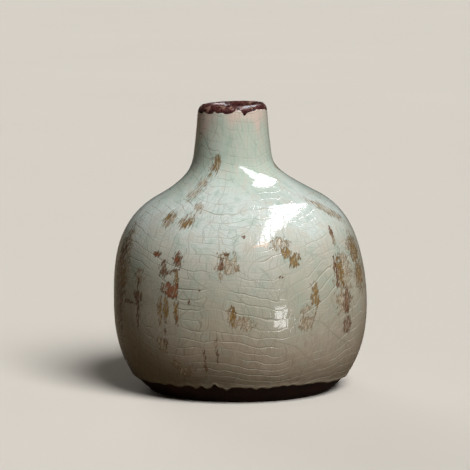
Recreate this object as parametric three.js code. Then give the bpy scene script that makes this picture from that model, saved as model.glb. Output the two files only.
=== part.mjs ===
// Bud vase: one thrown stoneware vessel with its three coats of glaze, each as its own solid.
// Millimetres, +Z up. The origin is the middle of the foot ring, on the table. The best side faces -Y.

import * as THREE from 'three';

// Outline of the clay, outside: radius and height of each turning point, and how full the curve is beside it.
// The neck's taper is the share of its upright part over which it still narrows towards the lip.
const FOOT_RADIUS = 37.4;
const FOOT_SLOPE = 38;
const FOOT_FULLNESS = 5;
const BELLY_RADIUS = 50.4;
const BELLY_HEIGHT = 34;
const BELLY_FULLNESS_BELOW = 22.4;
const BELLY_FULLNESS_ABOVE = 22;
const SHOULDER_RADIUS = 32.6;
const SHOULDER_HEIGHT = 77;
const SHOULDER_SLOPE = 28.8;
const SHOULDER_FULLNESS_BELOW = 14.9;
const SHOULDER_FULLNESS_ABOVE = 19.7;
const NECK_RADIUS = 14.75;
const NECK_HEIGHT = 96.5;
const NECK_TAPER = 0.7;
const NECK_FULLNESS = 6.9;
const LIP_RADIUS = 13.5;
const LIP_HEIGHT = 114;
const LIP_ROUND = 3;

// Walls and floor of the clay
const BODY_WALL = 4.7;
const NECK_WALL = 4.4;
const FLOOR_THICKNESS = 5.5;
const FLOOR_CORNER = 13;

// Turned foot ring and the recess inside it
const FOOT_RING_WIDTH = 6;
const FOOT_EDGE = 0.5;
const RECESS_DEPTH = 2.4;
const RECESS_ROUND = 4;

// How far the hand-made pot is out of true: sideways drift in mm, slant of the rim in degrees
const BODY_DRIFT = -0.9;
const BODY_DRIFT_RISE = 28;
const NECK_DRIFT = -2.3;
const NECK_DRIFT_RISE = 15;
const RIM_SLANT = 2.1;

// Coats of glaze: thickness of each, and the thick roll where the outer one stopped running
const CELADON_COAT = 0.6;
const LIP_COAT = 0.35;
const LINER_COAT = 0.5;
const COAT_CHANGE = 3;
const ROLL_RISE = 0.45;
const ROLL_WIDTH = 3.2;
const ROLL_EDGE = 0.45;

// Lines where one coat ends, in mm along the clay: from the foot, from the lip's start and from its inner end
const FOOT_LINE = 8.3;
const FOOT_LINE_FADE = 5;
const LIP_LINE = 0.7;
const LIP_LINE_FADE = 3;
const MOUTH_LINE = 4.5;
const MOUTH_LINE_FADE = 3.5;
const DRIP_LENGTH = 1.5;
const DRIP_ANGLE = -70;
const DRIP_HALF_WIDTH = 7;

// Waves of each ragged line: [height in mm, waves round the pot, turn of the first crest in degrees]
const FOOT_WAVES = [[0.2, 1, -90], [0.8, 2, -90], [0.32, 5, 20], [0.3, 9, 71], [0.22, 14, 5]];
const LIP_WAVES = [[0.24, 3, 40], [0.3, 7, -82], [0.2, 12, 10]];
const MOUTH_WAVES = [[0.7, 2, 30], [0.45, 5, 100]];

// How finely the surface is divided
const SEGMENTS = 48;
const HALVINGS = 40;
const STEPS = {
  bareFoot: 3, roll: 3, foot: 4, body: 9, shoulder: 8, neck: 2, lipOutside: 1, lip: 5,
  mouth: 1, innerNeck: 7, innerBody: 4, corner: 3, floor: 1, recess: 3,
};

// A point of the outline, reached from another point by a rise at an angle from the horizontal
function polar(radius, height, degrees, length) {
  const angle = THREE.MathUtils.degToRad(degrees);
  return new THREE.Vector2(radius + length * Math.cos(angle), height + length * Math.sin(angle));
}

// The outside of the clay from the foot to the start of the lip, as curves that share their tangents
function outsideCurves() {
  const foot = new THREE.Vector2(FOOT_RADIUS, FOOT_EDGE);
  const belly = new THREE.Vector2(BELLY_RADIUS, BELLY_HEIGHT);
  const shoulder = new THREE.Vector2(SHOULDER_RADIUS, SHOULDER_HEIGHT);
  const neck = new THREE.Vector2(NECK_RADIUS, NECK_HEIGHT);
  const lip = new THREE.Vector2(LIP_RADIUS, LIP_HEIGHT - LIP_ROUND);
  const taperTop = new THREE.Vector2(LIP_RADIUS, THREE.MathUtils.lerp(neck.y, lip.y, NECK_TAPER));
  const neckSlope = THREE.MathUtils.radToDeg(taperTop.clone().sub(neck).angle());
  return [
    new THREE.CubicBezierCurve(
      foot,
      polar(FOOT_RADIUS, FOOT_EDGE, FOOT_SLOPE, FOOT_FULLNESS),
      new THREE.Vector2(BELLY_RADIUS, BELLY_HEIGHT - BELLY_FULLNESS_BELOW),
      belly,
    ),
    new THREE.CubicBezierCurve(
      belly,
      new THREE.Vector2(BELLY_RADIUS, BELLY_HEIGHT + BELLY_FULLNESS_ABOVE),
      polar(SHOULDER_RADIUS, SHOULDER_HEIGHT, -SHOULDER_SLOPE, SHOULDER_FULLNESS_BELOW),
      shoulder,
    ),
    new THREE.CubicBezierCurve(
      shoulder,
      polar(SHOULDER_RADIUS, SHOULDER_HEIGHT, 180 - SHOULDER_SLOPE, SHOULDER_FULLNESS_ABOVE),
      polar(NECK_RADIUS, NECK_HEIGHT, neckSlope - 180, NECK_FULLNESS),
      neck,
    ),
    new THREE.QuadraticBezierCurve(neck, taperTop, lip),
  ];
}

// The side of a line that faces out of the clay, for a line walked up the outside and down the inside
function outwards(tangent) {
  return new THREE.Vector2(tangent.y, -tangent.x);
}

// The inside of the wall: a stretch of the outside walked downwards and moved in by the wall's thickness
class InnerWall extends THREE.Curve {
  constructor(outside, highest, lowest) {
    super();
    this.outside = outside;
    this.highest = highest;
    this.lowest = lowest;
  }

  getPoint(t, target = new THREE.Vector2()) {
    const place = THREE.MathUtils.lerp(this.highest, this.lowest, t);
    const outer = this.outside.getPoint(place);
    const wall = THREE.MathUtils.lerp(
      BODY_WALL,
      NECK_WALL,
      THREE.MathUtils.smoothstep(outer.y, SHOULDER_HEIGHT, NECK_HEIGHT),
    );
    return target.copy(outer).addScaledVector(outwards(this.outside.getTangent(place)), -wall);
  }
}

// A path through curves that follow one another
function pathOf(curves) {
  const path = new THREE.CurvePath();
  curves.forEach((curve) => path.add(curve));
  return path;
}

// The place below another, as a share of the outside's length, where the wall's inside is this high
function placeAtInnerHeight(outside, above, height) {
  let low = 0;
  let high = above;
  for (let halving = 0; halving < HALVINGS; halving += 1) {
    const middle = (low + high) / 2;
    const isBelow = new InnerWall(outside, above, middle).getPoint(1).y < height;
    low = isBelow ? middle : low;
    high = isBelow ? high : middle;
  }
  return low;
}

// The whole glazed face of the clay: up the outside, over the lip, down the inside and across the floor
const outer = outsideCurves();
const outside = pathOf(outer);
const floorHeight = RECESS_DEPTH + FLOOR_THICKNESS;
const lengthOf = (curves) => curves.reduce((sum, curve) => sum + curve.getLength(), 0);
const shoulderPlace = lengthOf(outer.slice(0, 2)) / outside.getLength();
const cornerPlace = placeAtInnerHeight(outside, shoulderPlace, floorHeight + FLOOR_CORNER);
const innerNeck = new InnerWall(outside, 1, shoulderPlace);
const innerBody = new InnerWall(outside, shoulderPlace, cornerPlace);
const lipCentre = new THREE.Vector2(LIP_RADIUS - NECK_WALL / 2, LIP_HEIGHT - LIP_ROUND);
const lip = new THREE.EllipseCurve(lipCentre.x, lipCentre.y, NECK_WALL / 2, LIP_ROUND, 0, Math.PI);
const innerFoot = innerBody.getPoint(1);
const innerFall = innerBody.getTangent(1);
const cornerTurn = new THREE.Vector2(
  innerFoot.x - (innerFall.x / innerFall.y) * (innerFoot.y - floorHeight),
  floorHeight,
);
const cornerEnd = new THREE.Vector2(cornerTurn.x - FLOOR_CORNER, floorHeight);
const corner = new THREE.QuadraticBezierCurve(innerFoot, cornerTurn, cornerEnd);
const floor = new THREE.LineCurve(cornerEnd, new THREE.Vector2(0, floorHeight));
const face = pathOf([...outer, lip, innerNeck, innerBody, corner, floor]);
const faceLength = face.getLength();

// Distances along that face to where one stretch gives way to the next
const at = {
  foot: 0,
  footLine: FOOT_LINE,
  rollEnd: FOOT_LINE + ROLL_WIDTH,
  belly: lengthOf(outer.slice(0, 1)),
  shoulder: lengthOf(outer.slice(0, 2)),
  neck: lengthOf(outer.slice(0, 3)),
  lipStart: lengthOf(outer),
  lipLine: lengthOf(outer) + LIP_LINE,
  lipEnd: lengthOf([...outer, lip]),
  mouthLine: lengthOf([...outer, lip]) + MOUTH_LINE,
  innerShoulder: lengthOf([...outer, lip, innerNeck]),
  innerFoot: lengthOf([...outer, lip, innerNeck, innerBody]),
  cornerEnd: lengthOf([...outer, lip, innerNeck, innerBody, corner]),
  centre: faceLength,
};

// Evenly spaced stations from one place up to, but not on, the next
function spread(from, to, steps) {
  return Array.from({ length: steps }, (_, step) => THREE.MathUtils.lerp(from, to, step / steps));
}

const stations = [
  ...spread(at.foot, at.footLine, STEPS.bareFoot),
  ...spread(at.footLine, at.rollEnd, STEPS.roll),
  ...spread(at.rollEnd, at.belly, STEPS.foot),
  ...spread(at.belly, at.shoulder, STEPS.body),
  ...spread(at.shoulder, at.neck, STEPS.shoulder),
  ...spread(at.neck, at.lipStart, STEPS.neck),
  ...spread(at.lipStart, at.lipLine, STEPS.lipOutside),
  ...spread(at.lipLine, at.lipEnd, STEPS.lip),
  ...spread(at.lipEnd, at.mouthLine, STEPS.mouth),
  ...spread(at.mouthLine, at.innerShoulder, STEPS.innerNeck),
  ...spread(at.innerShoulder, at.innerFoot, STEPS.innerBody),
  ...spread(at.innerFoot, at.cornerEnd, STEPS.corner),
  ...spread(at.cornerEnd, at.centre, STEPS.floor),
  at.centre,
];

// How far a ragged line strays at this angle
function stray(waves, angle) {
  return waves.reduce((sum, [height, count, crest]) => {
    return sum + height * Math.cos(count * (angle - THREE.MathUtils.degToRad(crest)));
  }, 0);
}

// The drip that ran down from the lip's line: a short bell-shaped tongue
function drip(angle) {
  const away = angle - THREE.MathUtils.degToRad(DRIP_ANGLE);
  const turn = THREE.MathUtils.radToDeg(Math.atan2(Math.sin(away), Math.cos(away)));
  return -DRIP_LENGTH * Math.exp(-((turn / DRIP_HALF_WIDTH) ** 2));
}

// One at the line itself, falling smoothly to nothing at the fade's width
function nearness(station, line, fade) {
  return 1 - THREE.MathUtils.smoothstep(Math.abs(station - line), 0, fade);
}

// Stations near a ragged line bend with it, so that the line is an edge of the surface's own grid
function bent(station, angle) {
  const atFoot = stray(FOOT_WAVES, angle) * nearness(station, at.footLine, FOOT_LINE_FADE);
  const atLip = (stray(LIP_WAVES, angle) + drip(angle)) * nearness(station, at.lipLine, LIP_LINE_FADE);
  const atMouth = stray(MOUTH_WAVES, angle) * nearness(station, at.mouthLine, MOUTH_LINE_FADE);
  return station + atFoot + atLip + atMouth;
}

// Thickness of the glaze: a roll above the foot, thin where it broke over the lip, even inside
function coatAt(station) {
  const fromFootLine = (station - at.footLine) / ROLL_WIDTH;
  const roll = fromFootLine < 1 ? ROLL_RISE * (1 - fromFootLine) ** 2 : 0;
  const outsideCoat = (CELADON_COAT + roll) * (fromFootLine > 0 ? 1 : ROLL_EDGE);
  const overLip = THREE.MathUtils.smoothstep(station, at.lipLine - COAT_CHANGE, at.lipLine);
  const intoMouth = THREE.MathUtils.smoothstep(station, at.mouthLine, at.mouthLine + COAT_CHANGE);
  const coat = THREE.MathUtils.lerp(outsideCoat, LIP_COAT, overLip);
  return THREE.MathUtils.lerp(coat, LINER_COAT, intoMouth);
}

// A point of the true round form, moved to where the leaning, slanting pot has it
function stand(radius, height, angle) {
  const rise = (from, length) => THREE.MathUtils.smoothstep(height, from, from + length);
  const bodyDrift = BODY_DRIFT * rise(BELLY_HEIGHT, BODY_DRIFT_RISE);
  const neckDrift = NECK_DRIFT * rise(SHOULDER_HEIGHT, NECK_DRIFT_RISE);
  const share = THREE.MathUtils.clamp((height - BELLY_HEIGHT) / (LIP_HEIGHT - BELLY_HEIGHT), 0, 1);
  const slant = THREE.MathUtils.degToRad(RIM_SLANT) * share;
  const across = radius * Math.cos(angle);
  return new THREE.Vector3(
    bodyDrift + neckDrift + across * Math.cos(slant),
    radius * Math.sin(angle),
    height + across * Math.sin(slant),
  );
}

// Angles of the surface's columns, round the pot from +X towards +Y
const angles = Array.from({ length: SEGMENTS }, (_, column) => (2 * Math.PI * column) / SEGMENTS);

// Rings carry an order, by which neighbouring pieces cut the squares between two rings along one diagonal.
// A ring lifted off the clay counts as between its own station and the next.
const LIFTED = 0.5;

// A ring at a station of the face, lifted off the clay; the last station is one point, on the axis
function faceRing(index, lift) {
  const station = stations[index];
  const place = (angle) => {
    const share = bent(station, angle) / faceLength;
    const point = face.getPoint(share);
    point.addScaledVector(outwards(face.getTangent(share)), lift);
    return stand(point.x, point.y, angle);
  };
  const order = lift > 0 ? index + LIFTED : index;
  if (index === stations.length - 1) {
    return { order, points: [stand(0, floorHeight + lift, 0)] };
  }
  return { order, points: angles.map(place) };
}

// The rings under the foot, from the axis outwards: the recess, its rounded side and the flat foot ring
function undersideRings() {
  const recessRadius = FOOT_RADIUS - FOOT_EDGE - FOOT_RING_WIDTH;
  const side = Array.from({ length: STEPS.recess + 1 }, (_, step) => {
    const turn = (Math.PI / 2) * (step / STEPS.recess);
    return [recessRadius - RECESS_ROUND * (1 - Math.sin(turn)), RECESS_DEPTH * Math.cos(turn)];
  });
  const outline = [[0, RECESS_DEPTH], ...side, [FOOT_RADIUS - FOOT_EDGE, 0]];
  return outline.map(([radius, height], row) => ({
    order: row - outline.length,
    points: (radius > 0 ? angles : [0]).map((angle) => stand(radius, height, angle)),
  }));
}

// A closed surface through rings, each joined to the next and the last to the first
function closedSurface(rings) {
  const positions = rings.flatMap((ring) => ring.points.flatMap((point) => point.toArray()));
  const indices = [];
  const starts = [];
  rings.reduce((start, ring) => {
    starts.push(start);
    return start + ring.points.length;
  }, 0);
  rings.forEach((ring, row) => {
    const nextRow = (row + 1) % rings.length;
    const next = rings[nextRow];
    const corner = (whichRow, column) => starts[whichRow] + (column % rings[whichRow].points.length);
    if (ring.points.length === 1 && next.points.length === 1) {
      return;
    }
    for (let column = 0; column < SEGMENTS; column += 1) {
      const a = corner(row, column);
      const b = corner(row, column + 1);
      const c = corner(nextRow, column + 1);
      const d = corner(nextRow, column);
      if (ring.points.length === 1) {
        indices.push(a, c, d);
      } else if (next.points.length === 1) {
        indices.push(a, b, d);
      } else if (next.order > ring.order) {
        indices.push(a, b, c, a, c, d);
      } else {
        indices.push(a, b, d, b, c, d);
      }
    }
  });
  const geometry = new THREE.BufferGeometry();
  geometry.setAttribute('position', new THREE.Float32BufferAttribute(positions, 3));
  geometry.setIndex(indices);
  geometry.computeVertexNormals();
  return geometry;
}

// The clay: its underside, then the whole face from the foot to the middle of the floor
function clayGeometry() {
  return closedSurface([...undersideRings(), ...stations.map((_, index) => faceRing(index, 0))]);
}

// A coat between two stations of the face: out along its free surface and back along the clay under it
function coatGeometry(from, to) {
  const first = stations.indexOf(from);
  const last = stations.indexOf(to);
  const indices = Array.from({ length: last - first + 1 }, (_, step) => first + step);
  const free = indices.map((index) => faceRing(index, coatAt(stations[index])));
  const seated = indices.reverse().map((index) => faceRing(index, 0));
  return closedSurface([...free, ...seated]);
}

// A named piece with the colour and gloss of its own material
function piece(name, geometry, color, roughness) {
  const mesh = new THREE.Mesh(geometry, new THREE.MeshStandardMaterial({ color, roughness, metalness: 0 }));
  mesh.name = name;
  return mesh;
}

const vase = new THREE.Group();
vase.name = 'bud_vase';
vase.add(
  piece('clay_body', clayGeometry(), 0x4a3128, 0.85),
  piece('celadon_glaze', coatGeometry(at.footLine, at.lipLine), 0xb4c3b2, 0.16),
  piece('lip_glaze', coatGeometry(at.lipLine, at.mouthLine), 0x4b2a2a, 0.3),
  piece('liner_glaze', coatGeometry(at.mouthLine, at.centre), 0x9a7f74, 0.35),
);

export default vase;
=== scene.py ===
"""Bud vase: one thrown stoneware vessel under three coats of glaze, dressed for rendering.

Metres, +Z up, in the frame of the model: the origin is the middle of the foot ring, on the table,
and the best side faces -Y.
"""
import logging
import math
from collections.abc import Callable, Sequence
from dataclasses import dataclass, field
from enum import Enum
from functools import partial

import bpy
import numpy as np
from mathutils import Euler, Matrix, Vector, noise


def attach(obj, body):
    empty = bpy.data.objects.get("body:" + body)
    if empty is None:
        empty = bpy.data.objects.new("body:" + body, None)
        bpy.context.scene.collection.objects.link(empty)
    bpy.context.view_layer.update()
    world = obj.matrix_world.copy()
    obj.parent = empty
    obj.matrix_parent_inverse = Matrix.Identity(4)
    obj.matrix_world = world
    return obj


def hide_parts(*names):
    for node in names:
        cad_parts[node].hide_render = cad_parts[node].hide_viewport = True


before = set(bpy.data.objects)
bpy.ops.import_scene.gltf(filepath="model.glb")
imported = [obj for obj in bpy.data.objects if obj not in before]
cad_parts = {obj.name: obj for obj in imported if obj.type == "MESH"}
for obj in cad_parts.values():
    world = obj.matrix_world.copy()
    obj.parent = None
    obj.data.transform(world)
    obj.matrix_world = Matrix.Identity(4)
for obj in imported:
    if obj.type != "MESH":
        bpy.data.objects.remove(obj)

LOG = logging.getLogger("bud_vase")
MM = 0.001


def linear(colour: str) -> tuple[float, float, float, float]:
    """Turn an sRGB hex colour into the linear colour that a shader takes.

    Args:
        colour: Six hex digits after a hash sign.

    Returns:
        Linear red, green and blue, and an alpha of one.
    """
    parts = [int(colour[place:place + 2], 16) / 255 for place in (1, 3, 5)]
    red, green, blue = (v / 12.92 if v <= 0.04045 else ((v + 0.055) / 1.055) ** 2.4 for v in parts)
    return red, green, blue, 1.0


Socket = bpy.types.NodeSocket
Spots = dict[str, Socket]


def add(tree: bpy.types.NodeTree, kind: str, inputs: dict, out: int | str = 0, **settings: object) -> Socket:
    """Add a node with its settings, its values and its links.

    Args:
        tree: The tree that the node joins.
        kind: Blender's name for the kind of node, without the "ShaderNode" that starts it.
        inputs: A value or another node's output for each input, by place or name.
        out: Which output the caller wants.
        **settings: The node's own settings.

    Returns:
        The wanted output socket.
    """
    node = tree.nodes.new("ShaderNode" + kind)
    for name, value in settings.items():
        setattr(node, name, value)
    for key, value in inputs.items():
        if isinstance(value, Socket):
            tree.links.new(value, node.inputs[key])
        else:
            node.inputs[key].default_value = value
    return node.outputs[out]


# Form


@dataclass
class Track:
    """A smooth line in the plane of radius and height, known by the distance walked along it."""

    run: np.ndarray
    radius: np.ndarray
    height: np.ndarray

    @classmethod
    def through(cls, curves: list[np.ndarray]) -> "Track":
        """Join curves that follow one another.

        Args:
            curves: Arrays of radius and height, each starting where the last one ends.

        Returns:
            The line through all of them.
        """
        points = np.vstack([curves[0], *(curve[1:] for curve in curves[1:])])
        run = np.r_[0.0, np.cumsum(np.hypot(*np.diff(points, axis=0).T))]
        return cls(run, points[:, 0], points[:, 1])

    def at(self, run: np.ndarray, lift: np.ndarray | float = 0.0) -> tuple[np.ndarray, np.ndarray]:
        """Find the points at some distances along the line, lifted off it to its outer side.

        Args:
            run: Distances along the line.
            lift: How far each point stands off the line.

        Returns:
            The radius and the height of each point.
        """
        slope_r, slope_z = np.gradient(self.radius, self.run), np.gradient(self.height, self.run)
        across, up = np.interp(run, self.run, slope_r), np.interp(run, self.run, slope_z)
        length = np.hypot(across, up)
        radius = np.interp(run, self.run, self.radius) + lift * up / length
        return radius, np.interp(run, self.run, self.height) - lift * across / length


def bezier(*points: tuple[float, float], steps: int = 300) -> np.ndarray:
    """Walk along a Bezier curve of two or three spans.

    Args:
        *points: Three or four control points.
        steps: How many points to return.

    Returns:
        The points as an array of radius and height.
    """
    t = np.linspace(0, 1, steps)[:, None]
    degree = len(points) - 1
    shares = [math.comb(degree, i) * t**i * (1 - t) ** (degree - i) for i in range(degree + 1)]
    return sum(share * np.array(point) for share, point in zip(shares, points))


def polar(radius: float, height: float, degrees: float, length: float) -> tuple[float, float]:
    """Reach a point from another by a length at an angle from the horizontal."""
    angle = math.radians(degrees)
    return radius + length * math.cos(angle), height + length * math.sin(angle)


def ease(x: np.ndarray | float, start: float, end: float) -> np.ndarray:
    """Rise smoothly from nothing at the start to one at the end."""
    t = np.clip((x - start) / (end - start), 0, 1)
    return t * t * (3 - 2 * t)


@dataclass
class Outline:
    """Sizes of the clay as it was thrown and turned, with the lines that follow from them."""

    foot_radius: float = 37.4 * MM
    foot_slope: float = 38
    foot_fullness: float = 5 * MM
    belly_radius: float = 50.4 * MM
    belly_height: float = 34 * MM
    belly_fullness_below: float = 22.4 * MM
    belly_fullness_above: float = 22 * MM
    shoulder_radius: float = 32.6 * MM
    shoulder_height: float = 77 * MM
    shoulder_slope: float = 28.8
    shoulder_fullness_below: float = 14.9 * MM
    shoulder_fullness_above: float = 19.7 * MM
    neck_radius: float = 14.75 * MM
    neck_height: float = 96.5 * MM
    neck_taper: float = 0.7
    neck_fullness: float = 6.9 * MM
    lip_radius: float = 13.5 * MM
    lip_height: float = 114 * MM
    lip_round: float = 3 * MM
    body_wall: float = 4.7 * MM
    neck_wall: float = 4.4 * MM
    floor_height: float = 7.9 * MM
    floor_corner: float = 13 * MM
    foot_ring_width: float = 6 * MM
    foot_edge: float = 0.5 * MM
    recess_depth: float = 2.4 * MM
    recess_round: float = 4 * MM

    def __post_init__(self) -> None:
        """Work out the whole glazed face: up the outside, over the lip, down the inside to the axis."""
        outside = self.outside()
        wall = self.inner_wall(Track.through(outside))
        curves = [*outside, self.rim(), *wall, *self.floor(wall[-1])]
        self.face = Track.through(curves)
        ends = np.cumsum([Track.through([curve]).run[-1] for curve in curves])
        names = (
            "belly", "shoulder", "neck", "lip_start", "lip_end",
            "inner_shoulder", "inner_foot", "corner_end", "centre",
        )
        self.ends = dict(zip(names, ends.tolist()))

    def outside(self) -> list[np.ndarray]:
        """Draw the outside from the foot to the start of the lip.

        Returns:
            The curves from one named place to the next.
        """
        belly = (self.belly_radius, self.belly_height)
        shoulder = (self.shoulder_radius, self.shoulder_height)
        neck = (self.neck_radius, self.neck_height)
        lip = (self.lip_radius, self.lip_height - self.lip_round)
        taper_top = (self.lip_radius, neck[1] + self.neck_taper * (lip[1] - neck[1]))
        neck_slope = math.degrees(math.atan2(taper_top[1] - neck[1], taper_top[0] - neck[0]))
        return [
            bezier(
                (self.foot_radius, self.foot_edge),
                polar(self.foot_radius, self.foot_edge, self.foot_slope, self.foot_fullness),
                (self.belly_radius, self.belly_height - self.belly_fullness_below),
                belly,
            ),
            bezier(
                belly,
                (self.belly_radius, self.belly_height + self.belly_fullness_above),
                polar(*shoulder, -self.shoulder_slope, self.shoulder_fullness_below),
                shoulder,
            ),
            bezier(
                shoulder,
                polar(*shoulder, 180 - self.shoulder_slope, self.shoulder_fullness_above),
                polar(*neck, neck_slope - 180, self.neck_fullness),
                neck,
            ),
            bezier(neck, taper_top, lip),
        ]

    def rim(self) -> np.ndarray:
        """Draw the rolled lip, from outside to inside.

        Returns:
            Its points, as radius and height.
        """
        turn = np.linspace(0, math.pi, 200)
        half = self.neck_wall / 2
        centre = self.lip_radius - half, self.lip_height - self.lip_round
        return np.column_stack([centre[0] + half * np.cos(turn), centre[1] + self.lip_round * np.sin(turn)])

    def inner_wall(self, outside: Track) -> list[np.ndarray]:
        """Move the outside in by the wall's thickness.

        Args:
            outside: The outside of the clay, from the foot upwards.

        Returns:
            The inside of the neck, walked down to the shoulder, and of the body, down to the corner.
        """
        height = outside.height
        upwards = ease(height, self.shoulder_height, self.neck_height)
        wall = self.body_wall + (self.neck_wall - self.body_wall) * upwards
        inside = np.column_stack(outside.at(outside.run, -wall))[::-1]
        shoulder = int(np.argmin(np.abs(height[::-1] - self.shoulder_height)))
        lowest = int(np.argmax(inside[:, 1] < self.floor_height + self.floor_corner))
        return [inside[:shoulder + 1], inside[shoulder:lowest + 1]]

    def floor(self, wall: np.ndarray) -> list[np.ndarray]:
        """Draw the rounded corner and the flat floor.

        Args:
            wall: The inside of the body, which ends where the corner begins.

        Returns:
            The corner and the floor, up to the axis.
        """
        foot, before = wall[-1], wall[-2]
        fall = (foot - before) / np.hypot(*(foot - before))
        turn = (foot[0] - fall[0] / fall[1] * (foot[1] - self.floor_height), self.floor_height)
        end = (turn[0] - self.floor_corner, self.floor_height)
        return [bezier(tuple(foot), turn, end), np.linspace(end, (0.0, self.floor_height), 60)]

    def underside(self, steps: int) -> tuple[np.ndarray, np.ndarray]:
        """Draw the line under the foot, from the axis out to the foot ring's outer edge.

        Args:
            steps: How many points the recess's flat takes, and how many its round.

        Returns:
            The radius and the height of each point.
        """
        recess = self.foot_radius - self.foot_edge - self.foot_ring_width
        turn = np.linspace(0, math.pi / 2, steps)
        flat = np.linspace(0, recess - self.recess_round, steps)[:-1]
        ring = np.linspace(recess, self.foot_radius - self.foot_edge, steps // 2)[1:]
        radius = np.r_[flat, recess - self.recess_round * (1 - np.sin(turn)), ring]
        round_height = self.recess_depth * np.cos(turn)
        return radius, np.r_[np.full(len(flat), self.recess_depth), round_height, np.zeros(len(ring))]


@dataclass
class Lean:
    """How far the hand-made pot stands out of true."""

    outline: Outline
    body_drift: float = -0.9 * MM
    body_drift_rise: float = 28 * MM
    neck_drift: float = -2.3 * MM
    neck_drift_rise: float = 15 * MM
    rim_slant: float = 2.1

    def stand(self, radius: np.ndarray, height: np.ndarray, angle: np.ndarray) -> np.ndarray:
        """Move points of the true round form to where the leaning pot has them.

        Args:
            radius: Distance of each point from the axis.
            height: Height of each point.
            angle: Angle of each point, from +X towards +Y.

        Returns:
            The points, with x, y and z along the last axis.
        """
        belly, shoulder = self.outline.belly_height, self.outline.shoulder_height
        drift = self.body_drift * ease(height, belly, belly + self.body_drift_rise)
        drift = drift + self.neck_drift * ease(height, shoulder, shoulder + self.neck_drift_rise)
        share = np.clip((height - belly) / (self.outline.lip_height - belly), 0, 1)
        slant = math.radians(self.rim_slant) * share
        across = radius * np.cos(angle)
        places = drift + across * np.cos(slant), radius * np.sin(angle), height + across * np.sin(slant)
        return np.stack(np.broadcast_arrays(*places), axis=-1)


Waves = tuple[tuple[float, int, float], ...]
Lobes = tuple[tuple[float, float, float], ...]


@dataclass
class RaggedLine:
    """The edge where one coat ends: waves round the pot, and lobes where the glaze ran or drew back.

    Attributes:
        place: Distance of the line along the glazed face.
        fade: How far from the line the surface's own grid still bends with it.
        waves: Height in mm, count round the pot and the angle of the first crest.
        lobes: Angle, height in mm (less than nothing is down) and half-width in degrees.
    """

    place: float
    fade: float
    waves: Waves
    lobes: Lobes = ()

    def bend(self, run: np.ndarray, angle: np.ndarray) -> np.ndarray:
        """Say how far each point near the line moves along the face to follow it.

        Args:
            run: Distances along the face.
            angle: Angles round the pot.

        Returns:
            How far each point moves.
        """
        stray = np.zeros_like(angle)
        for height, count, crest in self.waves:
            stray = stray + height * MM * np.cos(count * (angle - math.radians(crest)))
        for centre, height, half in self.lobes:
            away = np.degrees(np.angle(np.exp(1j * (angle - math.radians(centre)))))
            stray = stray + height * MM * np.exp(-((away / half) ** 2))
        return stray * (1 - ease(np.abs(run - self.place), 0, self.fade))


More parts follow.
